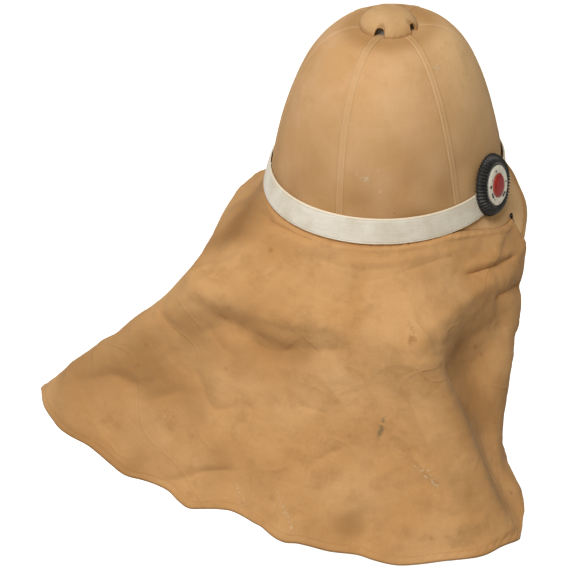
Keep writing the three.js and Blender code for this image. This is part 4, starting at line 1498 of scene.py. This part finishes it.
@dataclass
class NeckCloth:
    """Limp canvas that hangs from behind the band over the brim and down to a wavy hem.

    Sizes in mm, turns in degrees. The top edge lies a tuck deep behind the band as far as the turn
    where it starts to leave it, and ends at the corner, a share of the way down the brim. Below the
    brim the columns near corner_turn drift round the hem, as the pressed fold there does.
    """

    form: HelmetForm
    band: HatBand
    wall: float = 1.5
    clearance: float = 0.3
    cloth_clearance: float = 0.7
    binding_wall: float = 0.9
    tuck: float = 4.0
    leave: float = 52.0
    corner: float = 0.6
    drop: float = 165.0
    hem_left: float = 283.0
    hem_right: float = 218.0
    hem_rear: float = 285.0
    first_turn: float = -98.0
    last_turn: float = 98.0
    columns: int = 318
    corner_turn: float = 32.0
    corner_drift: float = 12.0
    drift_reach: float = 16.0
    slack: float = 4.5
    hem_width: float = 7.4
    hem_raise: float = 0.4
    hem_groove: float = 0.3
    hem_pucker: float = 0.35
    pucker_pitch: float = 9.0
    deepest: float = 30.0
    rows_per_inner_row: int = 3

    # Hem: shares of the hem's reach to the sides and the rear, of the drop below the brim, of the
    # drop by which the hang sags inwards, and of the drop by which the brim lifts the cloth
    HEM = Table(
        "turn side reach drop sag lift",
        [
            (-98, 0.8, 0.36, 1.0, 0.12, 0.05),
            (-62, 0.93, 0.5, 1.0, 0.1, 0.1),
            (-44, 0.99, 0.6, 1.0, 0.05, 0.11),
            (-34, 0.985, 0.675, 1.0, 0.0, 0.07),
            (-30, 0.93, 0.765, 1.0, 0.0, 0.04),
            (-26, 0.82, 0.83, 1.0, 0.02, 0.02),
            (-20, 0.66, 0.875, 1.0, 0.04, 0.0),
            (-14, 0.45, 0.945, 1.0, 0.05, 0.0),
            (-8, 0.29, 0.972, 1.0, 0.05, 0.0),
            (-2, 0.145, 0.955, 1.0, 0.05, 0.0),
            (3, 0.035, 0.955, 1.0, 0.05, 0.0),
            (9, -0.12, 1.0, 1.0, 0.05, 0.0),
            (15, -0.3, 0.985, 1.0, 0.05, 0.0),
            (22, -0.52, 0.955, 1.0, 0.05, 0.0),
            (28, -0.7, 0.905, 1.0, 0.03, 0.0),
            (34, -0.89, 0.815, 1.0, 0.0, 0.0),
            (39, -0.963, 0.737, 1.0, 0.02, 0.0),
            (46, -1.0, 0.67, 1.0, 0.04, 0.0),
            (62, -0.98, 0.547, 1.0, 0.05, 0.0),
            (80, -0.92, 0.45, 1.0, 0.05, 0.0),
            (98, -0.83, 0.35, 1.0, 0.04, 0.0),
        ],
    )
    # Standing folds past the brim's edge: turn, half width before and after it in degrees, drift
    # of the turn to the hem, height as a share of the drop, and where they begin and are full
    FOLDS = (
        (39.5, 6.4, 20.0, 10.0, -0.13, 0.0, 0.22),
        (47.5, 5.0, 22.0, 1.0, 0.1, 0.55, 1.0),
        (20.0, 6.0, 6.0, 4.0, -0.02, 0.1, 0.7),
        (2.0, 7.0, 7.0, 2.0, 0.03, 0.2, 0.9),
        (-12.0, 6.0, 6.0, -3.0, -0.03, 0.3, 1.0),
        (-34.0, 6.0, 6.0, 0.0, 0.04, 0.0, 0.4),
        (84.0, 32.0, 32.0, 0.0, -0.1, 0.4, 0.85),
        (78.0, 30.0, 30.0, 0.0, 0.072, 0.78, 1.0),
    )
    # Length of the hem past the plain one: turn, mm
    HEM_WAVES = Table(
        "turn length",
        [
            *((-98, 0.0), (-40, 0.0), (-36, 0.0), (-34, -3.5), (-32, -7.0), (-30, -7.0)),
            *((-28, -4.5), (-26, -1.5), (-22, -2.0), (-20, -0.5), (-18, 2.0), (-16, 3.5)),
            *((-14, -2.0), (-12, -5.0), (-10, -5.0), (-8, -0.5), (-6, 4.0), (-4, 1.5)),
            *((-2, -1.5), (0, -3.5), (4, -2.0), (6, -3.5), (10, -1.0), (12, -2.8), (16, -1.2)),
            *((20, -3.0), (22, -0.5), (25, 1.8), (28, 0.0), (31, -2.5), (36, -2.5), (40, -2.5)),
            *((44, 0.0), (49, 3.5), (54, 3.0), (58, -0.5), (68, -3.0), (82, -2.0), (98, 0.0)),
        ],
    )
    # Creases and ridges: path of turns and ways, height, width, far width, pinch, fade
    CREASES = (
        # the pressed fold that runs down from the brim's rear corner, and the soft one beside it
        Line(((32, 0.97), (32, 1.0), (34.1, 1.172), (36.5, 1.372), (39.1, 1.596), (42.1, 1.84),
              (43.6, 1.97)), 2.4, 16.0, 11.0, 1.35, 0.03),
        Line(((30.4, 1.0), (28.3, 1.15), (27.2, 1.26), (27.9, 1.372), (29.2, 1.482),
              (30.5, 1.618), (31.2, 1.754), (32.2, 1.95)), 6.0, 32.0, 30.0, 1.2, 0.12),
        Line(((37.5, 1.1), (41.0, 1.22), (43.6, 1.36), (45.0, 1.5)), -2.5, 8.0, 12.0, 1.5),
        Line(((32.6, 1.03), (35.4, 1.03), (39.4, 1.05), (44.0, 1.06)), -1.2, 4.0, 5.0, 1.3, 0.2),
        Line(((29.5, 0.99), (37.0, 0.97), (45.2, 0.975), (57.6, 0.985), (70, 1.0)),
              3.5, 7.0, 16.0, 1.3, 0.1),
        # the brim's edge pressing through, and the sag under it
        Line(((-44, 1.0), (-23.4, 1.014), (-15.1, 1.035), (-7.6, 1.025), (1.4, 1.005),
              (16, 0.99)), 3.0, 9.0, 16.0, 1.8, 0.1),
        Line(((-27, 1.1), (-22.6, 1.126), (-16.5, 1.135), (-9.8, 1.15), (-3.0, 1.165),
              (0.6, 1.14), (6.4, 1.125), (15, 1.08)), -4.0, 14.0, 8.0, 1.8, 0.2),
        Line(((-14, 1.17), (-8, 1.19), (-2.8, 1.178), (1.4, 1.14)), -1.2, 3.0, 5.0, 1.2),
        # tucks near the wearer's right front corner
        Line(((93, 0.03), (89, 0.13), (81, 0.378), (71.1, 0.762), (66, 0.9)),
              4.5, 20.0, 8.0, 1.3, 0.2),
        Line(((56, 0.76), (61, 0.785), (68.8, 0.83), (77.2, 0.86), (86, 0.93)),
              -4.5, 6.0, 3.0, 1.2, 0.2),
        Line(((58, 0.69), (68.8, 0.755), (77.2, 0.79), (87, 0.86)), 2.2, 6.0, 6.0, 1.8, 0.2),
        Line(((68, 1.07), (72.4, 1.086), (80.8, 1.104), (90, 1.14), (98, 1.19)),
              -4.5, 8.0, 4.0, 1.2, 0.12),
        Line(((99, 1.11), (95, 1.12), (90, 1.12)), 1.0, 12.0, 9.0, 1.8, 0.02),
        Line(((99, 1.2), (98, 1.42)), 3.0, 20.0, 20.0, 2.0, 0.3),
        Line(((88, 1.24), (76, 1.26), (66, 1.29), (57, 1.32), (49.2, 1.36)), -8.0, 32.0, 22.0, 1.8),
        Line(((90, 1.3), (86, 1.55), (80, 1.8)), 1.5, 16.0, 24.0, 1.8),
        Line(((62, 1.5), (60, 1.7), (57, 1.93)), 1.0, 9.0, 14.0, 1.6),
        # where the cloth leaves the band at the wearer's left rear
        Line(((-66, 0.74), (-61.6, 0.68), (-51.5, 0.528), (-40.4, 0.318), (-23.9, 0.2),
              (-15.9, 0.18), (0.8, 0.135)), -4.2, 3.5, 5.0, 1.2, 0.15),
        Line(((-60, 0.8), (-48, 0.6), (-36, 0.42), (-18, 0.3), (4, 0.23)),
              1.8, 12.0, 8.0, 1.8, 0.2),
        Line(((-56, 0.3), (-62, 0.6), (-67, 0.94)), 1.6, 5.0, 5.0, 1.5),
        Line(((-64, 0.3), (-70, 0.6), (-75, 0.94)), -1.8, 4.0, 4.0, 1.5),
        Line(((-71, 0.3), (-78, 0.6), (-84, 0.94)), 0.8, 5.0, 5.0, 1.5),
        Line(((-80, 0.35), (-87, 0.65), (-92, 0.94)), -1.8, 4.0, 4.0, 1.5),
        Line(((-49, 0.94), (-36.6, 0.79), (-30, 0.69)), -3.0, 9.0, 7.0, 1.5),
        Line(((-46, 0.985), (-30.9, 0.925), (-22, 0.9)), -3.0, 5.0, 9.0, 1.5),
        Line(((-60, 1.0), (-57, 1.07), (-53, 1.12)), -2.0, 16.0, 16.0, 2.0),
        # slack over the rear of the brim
        Line(((6, 0.56), (16.8, 0.576), (24.6, 0.544), (28.6, 0.49), (45.9, 0.44), (56, 0.43)),
              -1.3, 3.0, 5.0, 1.2),
        Line(((1.4, 0.246), (15.6, 0.352), (30.6, 0.342), (44.2, 0.338), (56.5, 0.374),
              (69.8, 0.35)), 1.2, 6.0, 6.0, 1.7),
        Line(((-8, 0.36), (8, 0.45), (24, 0.44), (40, 0.38)), -0.9, 4.0, 5.0, 1.4),
        # creases of the hanging part
        Line(((-37, 1.5), (-36.6, 1.66), (-36.6, 1.86)), 2.0, 20.0, 20.0, 2.0),
        Line(((-20, 1.36), (-17.8, 1.418), (-15.6, 1.46), (-13.2, 1.512), (-10.9, 1.54),
              (-8.1, 1.504), (-6.4, 1.448)), -2.2, 4.0, 8.0, 1.4),
        Line(((-13, 1.99), (-11.1, 1.954), (-9, 1.886), (-7.5, 1.834), (-5, 1.804), (-1, 1.79)),
              -3.6, 12.0, 3.0, 1.3),
        Line(((10, 1.615), (11.6, 1.605), (12.9, 1.572), (15.4, 1.526)), -1.8, 3.0, 3.0, 1.2),
        Line(((-31.5, 1.82), (-29, 1.678), (-27.5, 1.608), (-24.8, 1.61), (-22.5, 1.545)),
              -5.0, 16.0, 9.0, 1.6),
        Line(((-21, 1.66), (-18.9, 1.592), (-17, 1.5)), -2.2, 5.0, 7.0, 1.4),
        Line(((-33, 1.2), (-28.5, 1.244), (-25, 1.26)), -2.4, 6.0, 6.0, 1.5),
        Line(((-24, 1.16), (-17.5, 1.25), (-13.5, 1.28)), -1.4, 4.0, 5.0, 1.3),
        Line(((4, 1.4), (9.1, 1.388), (13, 1.4)), -1.2, 3.0, 3.0, 1.3),
        Line(((-6.4, 1.44), (-4.6, 1.492), (-3.8, 1.566), (-1.4, 1.64)), -1.6, 4.0, 4.0, 1.4),
        Line(((11.5, 1.215), (15.1, 1.166), (18.4, 1.23), (14.5, 1.3)), -0.9, 3.0, 3.0, 1.4),
        Line(((-2, 1.3), (6, 1.24), (14, 1.2), (22, 1.16)), 2.4, 16.0, 12.0, 2.0),
        Line(((19, 1.75), (21, 1.85), (17, 1.96)), -2.4, 10.0, 10.0, 1.8),
        Line(((26, 1.5), (28.5, 1.6), (30.5, 1.66)), 1.6, 4.0, 4.0, 1.4),
        Line(((-16, 1.72), (-8, 1.66), (0, 1.68), (8, 1.72)), 2.2, 18.0, 14.0, 2.0),
    )
    # Painted highlight: lighter patches where the light falls over the brim's rear right and on the
    # hang below it: path, strength, half width
    PAINTED_HIGHLIGHTS = (
        Line(((16, 0.75), (34, 0.72), (56, 0.66)), 0.2, 44.0, fade=0.1),
        Line(((12, 1.3), (16, 1.2)), 0.2, 26.0, fade=0.1),
    )
    # Old dirt in soft patches, with painted shade beside the pressed fold, on the side past the
    # rear corner and in the valleys of the hang; and oil: path, strength, half width
    SOIL_AND_SHADE = (
        Line(((-75, 0.3), (-60, 0.45), (-46, 0.7), (-36, 0.8)), 0.6, 34.0),
        Line(((-34, 1.9), (-31, 1.7), (-29, 1.5), (-28, 1.3)), 0.35, 34.0, fade=0.15),
        Line(((-34, 1.28), (-27, 1.25), (-20, 1.28), (-14, 1.4)), 0.3, 24.0),
        Line(((-26, 1.6), (-18, 1.5), (-10, 1.46)), 0.25, 18.0),
        Line(((-18, 1.9), (-8, 1.9)), 0.2, 16.0),
        # Painted shade in the sag under the brim's edge
        Line(((-15, 1.16), (-6, 1.18), (8, 1.13)), 0.45, 11.0),
        # Painted shade on the side face past the rear corner and beside the pressed fold
        Line(((42, 1.1), (50, 1.3), (48, 1.6)), 0.5, 34.0),
        Line(((35.5, 1.2), (38.5, 1.4), (41.5, 1.6), (45.5, 1.9)), 0.4, 12.0, fade=0.1),
        Line(((-33, 1.97), (-20, 1.985), (-10, 1.985)), 0.3, 10.0),
        # Painted shade in a valley of the hang
        Line(((17, 1.8), (20, 1.95)), 0.25, 16.0),
    )
    STAINS = (
        Line(((22.5, 1.345), (22.1, 1.385)), 0.7, 3.4, fade=0.05),
        Line(((21.9, 1.39), (21.2, 1.465)), 0.85, 3.4, fade=0.05),
    )
    CHALK = (
        Line(((26.4, 1.54), (28.6, 1.602), (30.6, 1.68)), 0.5, 2.6),
        Line(((-1.2, 1.84), (0.6, 1.92), (2.1, 1.98)), 0.45, 2.4),
        Line(((5.6, 1.8), (9.0, 1.868), (11.2, 1.96)), 0.5, 2.6),
        Line(((-17.2, 1.695), (-16.8, 1.672)), 0.34, 2.0, fade=0.01),
    )
    # Unevenness of the free canvas: seed, spacing and height in mm
    SWELLS = ((63, 19.0, 0.7), (64, 8.0, 0.4), (67, 4.5, 0.16))
    # Small dark spots: turn, way, size in mm, strength
    SPOTS = (
        *((-23.4, 0.54, 2.6, 0.9), (-20.8, 0.86, 1.8, 0.6), (54.0, 0.43, 2.2, 0.7)),
        *((80.4, 0.83, 2.0, 0.8), (60.5, 1.24, 2.6, 0.8), (63.5, 1.29, 2.8, 0.7)),
        *((58.0, 1.88, 2.4, 0.9), (-32.1, 1.38, 1.6, 0.4), (-28.2, 1.39, 2.0, 0.35)),
        *((-26.5, 1.5, 1.8, 0.4), (-24.9, 1.76, 2.0, 0.3), (-16.0, 1.66, 1.8, 0.5)),
        *((25.5, 1.5, 2.2, 0.7), (29.0, 1.89, 2.2, 0.8), (30.9, 1.89, 2.2, 0.7)),
        *((16.2, 1.47, 2.6, 0.6), (-22.1, 1.03, 2.8, 0.6), (-20.9, 1.11, 2.4, 0.5)),
        *((5.9, 1.85, 3.0, 0.6), (11.1, 1.85, 2.4, 0.5), (-13.5, 1.34, 2.6, 0.5)),
        *((38.1, 1.27, 2.4, 0.5), (9.5, 1.6, 2.0, 0.5), (40.6, 1.64, 2.2, 0.5)),
    )

    @property
    def edge_off(self) -> float:
        """How far the cloth's inner face stands off the brim's edge."""
        return self.clearance + self.binding_wall + self.cloth_clearance

    def top_way(self, turn: Array) -> Array:
        """Way at which the cloth's top edge lies: behind the band, and down the brim in front."""
        leave = ease(self.leave, self.last_turn, np.abs(turn))
        behind_band = self.form.way_at(self.band.foot(turn) + self.tuck)
        return blend(behind_band, 1.0 + self.corner, leave)

    def over_brim(self, turn: Array, way: Array) -> Array:
        """Point of the inner face over the brim: way is 0 at the top edge and 1 at the brim's."""
        lift = self.HEM.read("lift", turn) * self.drop
        at = blend(self.top_way(turn), 2.0, way)
        bound = self.form.binding_way(turn)
        low = blend(self.clearance, self.cloth_clearance, ease(0.98, 1.1, at))
        off = blend(low, self.edge_off, ease(1.6, bound, at))
        past = self.edge_off * np.maximum(0.0, (at - bound) / (2.0 - bound))
        point = self.form.point(turn, at) + scaled(self.form.normal(turn, at), off)
        point = point + scaled(self.form.edge_out(turn), past)
        return point + scaled(outward(turn), lift * way * way)

    def hanging(self, turn: Array, along: Array) -> Array:
        """Point of the inner face past the brim: along is 0 at the brim's edge and 1 at the hem."""
        lift = self.HEM.read("lift", turn) * self.drop
        off = np.full_like(turn, self.edge_off)
        edge = self.form.beside_edge(turn, off, off) + scaled(outward(turn), lift)
        # The pressed fold runs from the brim's corner to a place further round the hem
        far = turn + self.corner_drift * bump(turn - self.corner_turn, self.drift_reach)
        side = self.HEM.read("side", far)
        hem = np.stack(
            [
                side * np.where(side > 0, self.hem_left, self.hem_right),
                self.HEM.read("reach", far) * self.hem_rear,
                -self.form.drop - self.HEM.read("drop", far) * self.drop,
            ],
            -1,
        )
        line = hem - edge
        waves = scaled(unit(line), self.HEM_WAVES.read("length", far) * ease(0.75, 1.0, along))
        away = unit(np.cross(-np.cross(outward(turn), UP), line))
        away = np.where(away[..., 2:] < 0, -away, away)
        rise = -4.0 * self.HEM.read("sag", turn) * self.drop * along * (1 - along)
        for middle, before, after, drift, height, start, full in self.FOLDS:
            off_fold = blend(turn, far, along) - middle - drift * along
            fold = bump(off_fold, np.where(off_fold < 0, before, after))
            rise = rise + height * self.drop * fold * ease(start, full, along)
        return edge + line * along[..., None] + waves + scaled(away, rise)

    def point(self, turn: Array, way: Array) -> Array:
        """Point of the inner face: way is 0 at its top edge, 1 at the brim's and 2 at the hem."""
        turn, way = np.broadcast_arrays(np.asarray(turn, float), np.asarray(way, float))
        over = self.over_brim(turn, np.minimum(way, 1.0))
        hang = self.hanging(turn, np.maximum(way - 1.0, 0.0))
        return np.where((way <= 1.0)[..., None], over, hang)

    def marked(self, turn: Array, way: Array) -> Array:
        """Point at a turn measured straight down the hang, past the drift of the pressed fold."""
        along, column = np.maximum(way - 1.0, 0.0), turn
        for _ in range(12):
            drift = self.corner_drift * bump(column - self.corner_turn, self.drift_reach)
            column = blend(column, turn - along * drift, 0.7)
        return self.point(column, way)

    def column_turns(self) -> Array:
        """Turns of the columns, even along brim and hem together but closer at the rear corner."""
        fine = np.linspace(self.first_turn, self.last_turn, 1200)
        run = run_of(self.point(fine, 2.0), 0) + run_of(self.point(fine, 1.0), 0)
        closer = 1.0 + 0.9 * bump(fine - self.corner_turn, 9.0)
        run = np.concatenate([[0.0], np.cumsum(np.diff(run) * closer[1:])])
        return np.interp(np.linspace(0.0, run[-1], self.columns), run, fine)

    def build(self) -> bpy.types.Object:
        """Makes the canvas, its folds, creases and hems."""
        ways = np.concatenate(
            [
                np.linspace(0.0, 0.9, 61),
                np.linspace(0.9, 1.15, 28)[1:],
                np.linspace(1.15, 1.92, 91)[1:],
                np.linspace(1.92, 2.0, 22)[1:],
            ]
        )
        turn, way = np.meshgrid(self.column_turns(), ways, indexing="ij")
        inside = self.soften(self.point(turn, way), turn, way)
        normals = self.grid_normals(inside)
        run = run_of(inside, 1)
        to_hem, to_top = run[:, -1:] - run, run
        side_run = run_of(inside, 0)
        to_front = np.minimum(side_run, side_run[-1:] - side_run)
        inside = inside + scaled(normals, self.relief(inside, normals, turn, way))
        normals = self.grid_normals(inside)
        edge = np.minimum(np.minimum(to_hem, to_top), to_front)
        past_seam = edge - self.hem_width
        hem = self.hem_raise * (1.0 - ease(0.1, 1.6, past_seam))
        hem = hem - self.hem_groove * bump(past_seam, 0.8)
        stray = swells(inside, ((62, 30.0, 3.0),))
        pucker = self.hem_pucker * np.sin(2 * np.pi * side_run / self.pucker_pitch + stray)
        hem = hem + pucker * bump(edge - 5.5, 3.0)
        thickness = self.wall * (0.35 + 0.65 * ease(0.0, 1.3, edge)) + hem
        outside = inside + scaled(normals, thickness)
        inner = slice(None, None, -self.rows_per_inner_row)
        sections = np.concatenate([outside, inside[:, inner]], 1)
        marks = self.marks(outside, normals, edge)
        both = {name: np.concatenate([m, m[:, inner]], 1) for name, m in marks.items()}
        middle_run = side_run[:, [len(ways) // 2]] * np.ones_like(run)
        grain = np.stack([middle_run, run], -1)
        grain = np.concatenate([grain, grain[:, inner], grain[:, :1]], 1)
        skin = Skin(sections, False, self.rows_per_inner_row, grain, marks=both)
        return skin.make("neck_cloth_canvas", 75.0)

    def soften(self, points: Array, turn: Array, way: Array) -> Array:
        """Rounds the bend over the brim's edge, as stout canvas does, but least at its corner."""
        roll = 0.05 - 0.038 * bump(turn - self.corner_turn, 14.0) - 0.04 * ease(28.0, 42.0, -turn)
        near_edge = bump(way - 1.0, roll)[..., None]
        for _ in range(14):
            middle = (np.roll(points, 1, 1) + np.roll(points, -1, 1)) / 2
            middle[:, [0, -1]] = points[:, [0, -1]]
            points = points + (middle - points) * 0.5 * near_edge
        return points

    def grid_normals(self, points: Array) -> Array:
        """Unit normals of the grid, pointing out."""
        return unit(np.cross(np.gradient(points, axis=1), np.gradient(points, axis=0)))

    def relief(self, points: Array, normals: Array, turn: Array, way: Array) -> Array:
        """Height of creases and slack over the plain hang, in mm."""
        free = ease(0.05, 0.15, way)
        sides = ease(28.0, 50.0, -turn) + ease(74.0, 92.0, turn)
        rise = self.slack * free * (1.0 - ease(1.0, 1.3, way)) * (1.0 - 0.85 * sides)
        broad = swells(points, ((61, 46.0, 1.5),))
        rise = rise + broad * ease(0.2, 0.8, way) * (1.0 - 0.6 * sides)
        rise = rise + free * swells(points, self.SWELLS)
        rise = rise + free * self.drawn(self.CREASES, points, normals)
        # Over the brim the cloth can't sink below its plain lie
        return np.where(way < 1.0, np.maximum(rise, 0.0), np.maximum(rise, -self.deepest))

    def drawn(self, lines: Sequence[Line], points: Array, normals: Array) -> Array:
        """Sum of the strengths of several lines at points."""
        return sum(line.strength(points, normals, self.marked) for line in lines)

    def marks(self, points: Array, normals: Array, edge: Array) -> dict[str, Array]:
        """Soil with painted shade, stains, chalky rubs and painted highlight over the canvas."""
        soil = 0.6 * bump(edge, 1.6) + 0.2 * bump(edge - 7.4, 0.9)
        soil = soil + 0.22 * ease(0.0, 0.9, Unevenness(65, 28.0).at(points))
        # The lines lay dirt and painted shade
        soil = soil + self.drawn(self.SOIL_AND_SHADE, points, normals)
        for turn, way, size, strength in self.SPOTS:
            off = points - self.marked(np.array(float(turn)), np.array(float(way)))
            above = np.sum(off * normals, axis=-1)
            beside = np.linalg.norm(off - scaled(normals, above), axis=-1)
            soil = soil + 0.7 * strength * bump(beside, 0.8 * size) * bump(above, 14.0)
        ragged = np.clip(0.75 + swells(points, ((66, 2.6, 0.6),)), 0.0, 1.0)
        found = {
            "soil": soil,
            "stain": self.drawn(self.STAINS, points, normals) * ragged,
            "chalk": self.drawn(self.CHALK, points, normals),
            "fade": self.drawn(self.PAINTED_HIGHLIGHTS, points, normals),
        }
        return {name: np.clip(m, 0, 1) for name, m in found.items()}

    def dress(self, piece: bpy.types.Object) -> None:
        """Gives the cloth its canvas."""
        settle(piece, NECK_CANVAS.make(), "neck_canvas", "neck_cloth")


@dataclass
class ClothHook:
    """Japanned wire hook on the brim, bent over a front corner of the neck cloth."""

    form: HelmetForm
    cloth: NeckCloth
    name: str
    turn: float
    length: float = 8.0
    wire: float = 1.6
    beside: float = 1.5
    sides: int = 14
    steps: int = 48

    def build(self) -> bpy.types.Object:
        """Makes the bent wire."""
        beyond = np.array(self.turn + math.copysign(self.beside, self.turn))
        way = np.array(1.0 + self.cloth.corner)
        normal = self.form.normal(beyond, way)
        shank = self.cloth.clearance + self.wire / 2
        over = self.cloth.cloth_clearance + self.cloth.wall + self.cloth.clearance + self.wire / 2
        base = self.form.point(beyond, way)
        foot = base + normal * shank
        along = unit(self.form.point(beyond, way + 0.004) - base)
        back = unit(self.form.point(np.array(self.turn), way) - base)
        rise = normal * (over - shank)
        path = np.array(
            [
                foot + along * self.length,
                foot + along * self.length / 2,
                foot,
                foot + rise - along * self.wire,
                foot + rise + along * self.wire + back * 2 * self.wire,
            ]
        )
        curve = Table("run x y z", np.column_stack([run_of(path, 0), path]))
        at = np.linspace(0.0, curve.rows[-1, 0], self.steps)
        line = np.stack([curve.read(axis, at) for axis in "xyz"], -1)
        ahead = unit(np.gradient(line, axis=0))
        side = unit(np.cross(ahead, normal))
        lift = np.cross(side, ahead)
        from_end = np.minimum(np.arange(self.steps), np.arange(self.steps)[::-1])
        taper = np.clip(from_end / 3.0, 0.12, 1.0)
        radius = self.wire / 2 * np.sqrt(taper)[:, None, None]
        angle = np.linspace(0.0, 2 * np.pi, self.sides, endpoint=False)[None, :, None]
        sections = line[:, None] + radius * (
            side[:, None] * np.cos(angle) + lift[:, None] * np.sin(angle)
        )
        return Skin(sections, ring=False).make(self.name + "_wire", 60.0)

    def dress(self, piece: bpy.types.Object) -> None:
        """Gives the hook its japanned iron."""
        settle(piece, JAPANNED_WIRE.make(), "hook_iron", self.name)


# ---------------------------------------------------------------- studio


@dataclass(frozen=True)
class SoftBox:
    """Square studio light. Place and aim in metres, power in watts."""

    name: str
    place: tuple[float, float, float]
    size: float
    power: float
    colour: str = "#FFFFFF"


@dataclass
class Studio:
    """Plain pale floor, soft lights and the camera at the photograph's angle."""

    # Seen from behind and to the wearer's right, from above; the lens gives the same perspective
    camera_place: tuple[float, float, float] = (-0.5575, 1.3604, 0.8651)
    camera_aim: tuple[float, float, float] = (0.0604, 0.0936, -0.0856)
    lens: float = 112.74
    floor_height: float = -0.8
    floor_size: float = 16.0
    surroundings: float = 0.25
    surroundings_colour: str = "#FFF0CE"
    light_aim: tuple[float, float, float] = (0.02, 0.05, -0.04)
    lights: tuple[SoftBox, ...] = (
        SoftBox("key light", (-0.22, 1.72, 2.66), 1.2, 70.0, "#FFFCF8"),
        SoftBox("fill from the wearer's left", (1.8, 1.2, 1.5), 1.4, 10.0, "#FAFBFF"),
    )

    def build(self) -> None:
        """Sets floor, lights, surroundings and camera."""
        half = self.floor_size / 2
        mesh = bpy.data.meshes.new("floor")
        plan = ((-half, -half), (half, -half), (half, half), (-half, half))
        corners = [(x, y, self.floor_height) for x, y in plan]
        mesh.from_pydata(corners, [], [(0, 1, 2, 3)])
        floor = bpy.data.objects.new("floor", mesh)
        bpy.context.scene.collection.objects.link(floor)
        work = Finish("matt white board")
        work.set(Base_Color=linear("#FAFAFA"), Roughness=0.9, Specular_IOR_Level=0.1)
        work.set(Emission_Color=linear("#FFFFFF"), Emission_Strength=0.85)
        mesh.materials.append(work.material)
        # Its bounce is left out: the object was photographed well above its white backdrop
        floor.visible_diffuse = False
        aim = Vector(self.light_aim)
        for box in self.lights:
            data = bpy.data.lights.new(box.name, "AREA")
            data.size, data.energy = box.size, box.power
            data.color = linear(box.colour)[:3]
            light = bpy.data.objects.new(box.name, data)
            light.location = box.place
            light.rotation_euler = (aim - Vector(box.place)).to_track_quat("-Z", "Y").to_euler()
            bpy.context.scene.collection.objects.link(light)
        world = bpy.data.worlds.new("warm pale surroundings")
        world.use_nodes = True
        background = world.node_tree.nodes["Background"]
        background.inputs["Color"].default_value = linear(self.surroundings_colour)
        background.inputs["Strength"].default_value = self.surroundings
        bpy.context.scene.world = world
        bpy.context.scene.view_settings.view_transform = "Standard"
        self.build_camera()

    def build_camera(self) -> None:
        """Sets the camera."""
        data = bpy.data.cameras.new("camera")
        data.lens, data.sensor_width = self.lens, 36.0
        data.clip_start, data.clip_end = 0.05, 60.0
        camera = bpy.data.objects.new("camera", data)
        place, aim = Vector(self.camera_place), Vector(self.camera_aim)
        camera.location = place
        camera.rotation_euler = (aim - place).to_track_quat("-Z", "Y").to_euler()
        bpy.context.scene.collection.objects.link(camera)
        bpy.context.scene.camera = camera


def main() -> None:
    """Builds and dresses every piece."""
    logging.basicConfig(level=logging.INFO, format="%(name)s: %(message)s")
    Studio().build()
    form = HelmetForm()
    shell = HelmetShell(form)
    shell.dress(shell.build())
    binding = BrimBinding(form)
    binding.dress(binding.build())
    band = HatBand(form)
    band.dress(band.build())
    vent = Vent(form)
    vent.dress(vent.build_collar(), vent.build_cap())
    cockade = Cockade(form, band)
    cockade.dress(cockade.build_rosette(), cockade.build_ring(), cockade.build_boss())
    cloth = NeckCloth(form, band)
    cloth.dress(cloth.build())
    for name, turn in (
        ("neck_cloth_hook_right", cloth.last_turn),
        ("neck_cloth_hook_left", cloth.first_turn),
    ):
        hook = ClothHook(form, cloth, name, turn)
        hook.dress(hook.build())


if __name__ == "__main__":
    main()
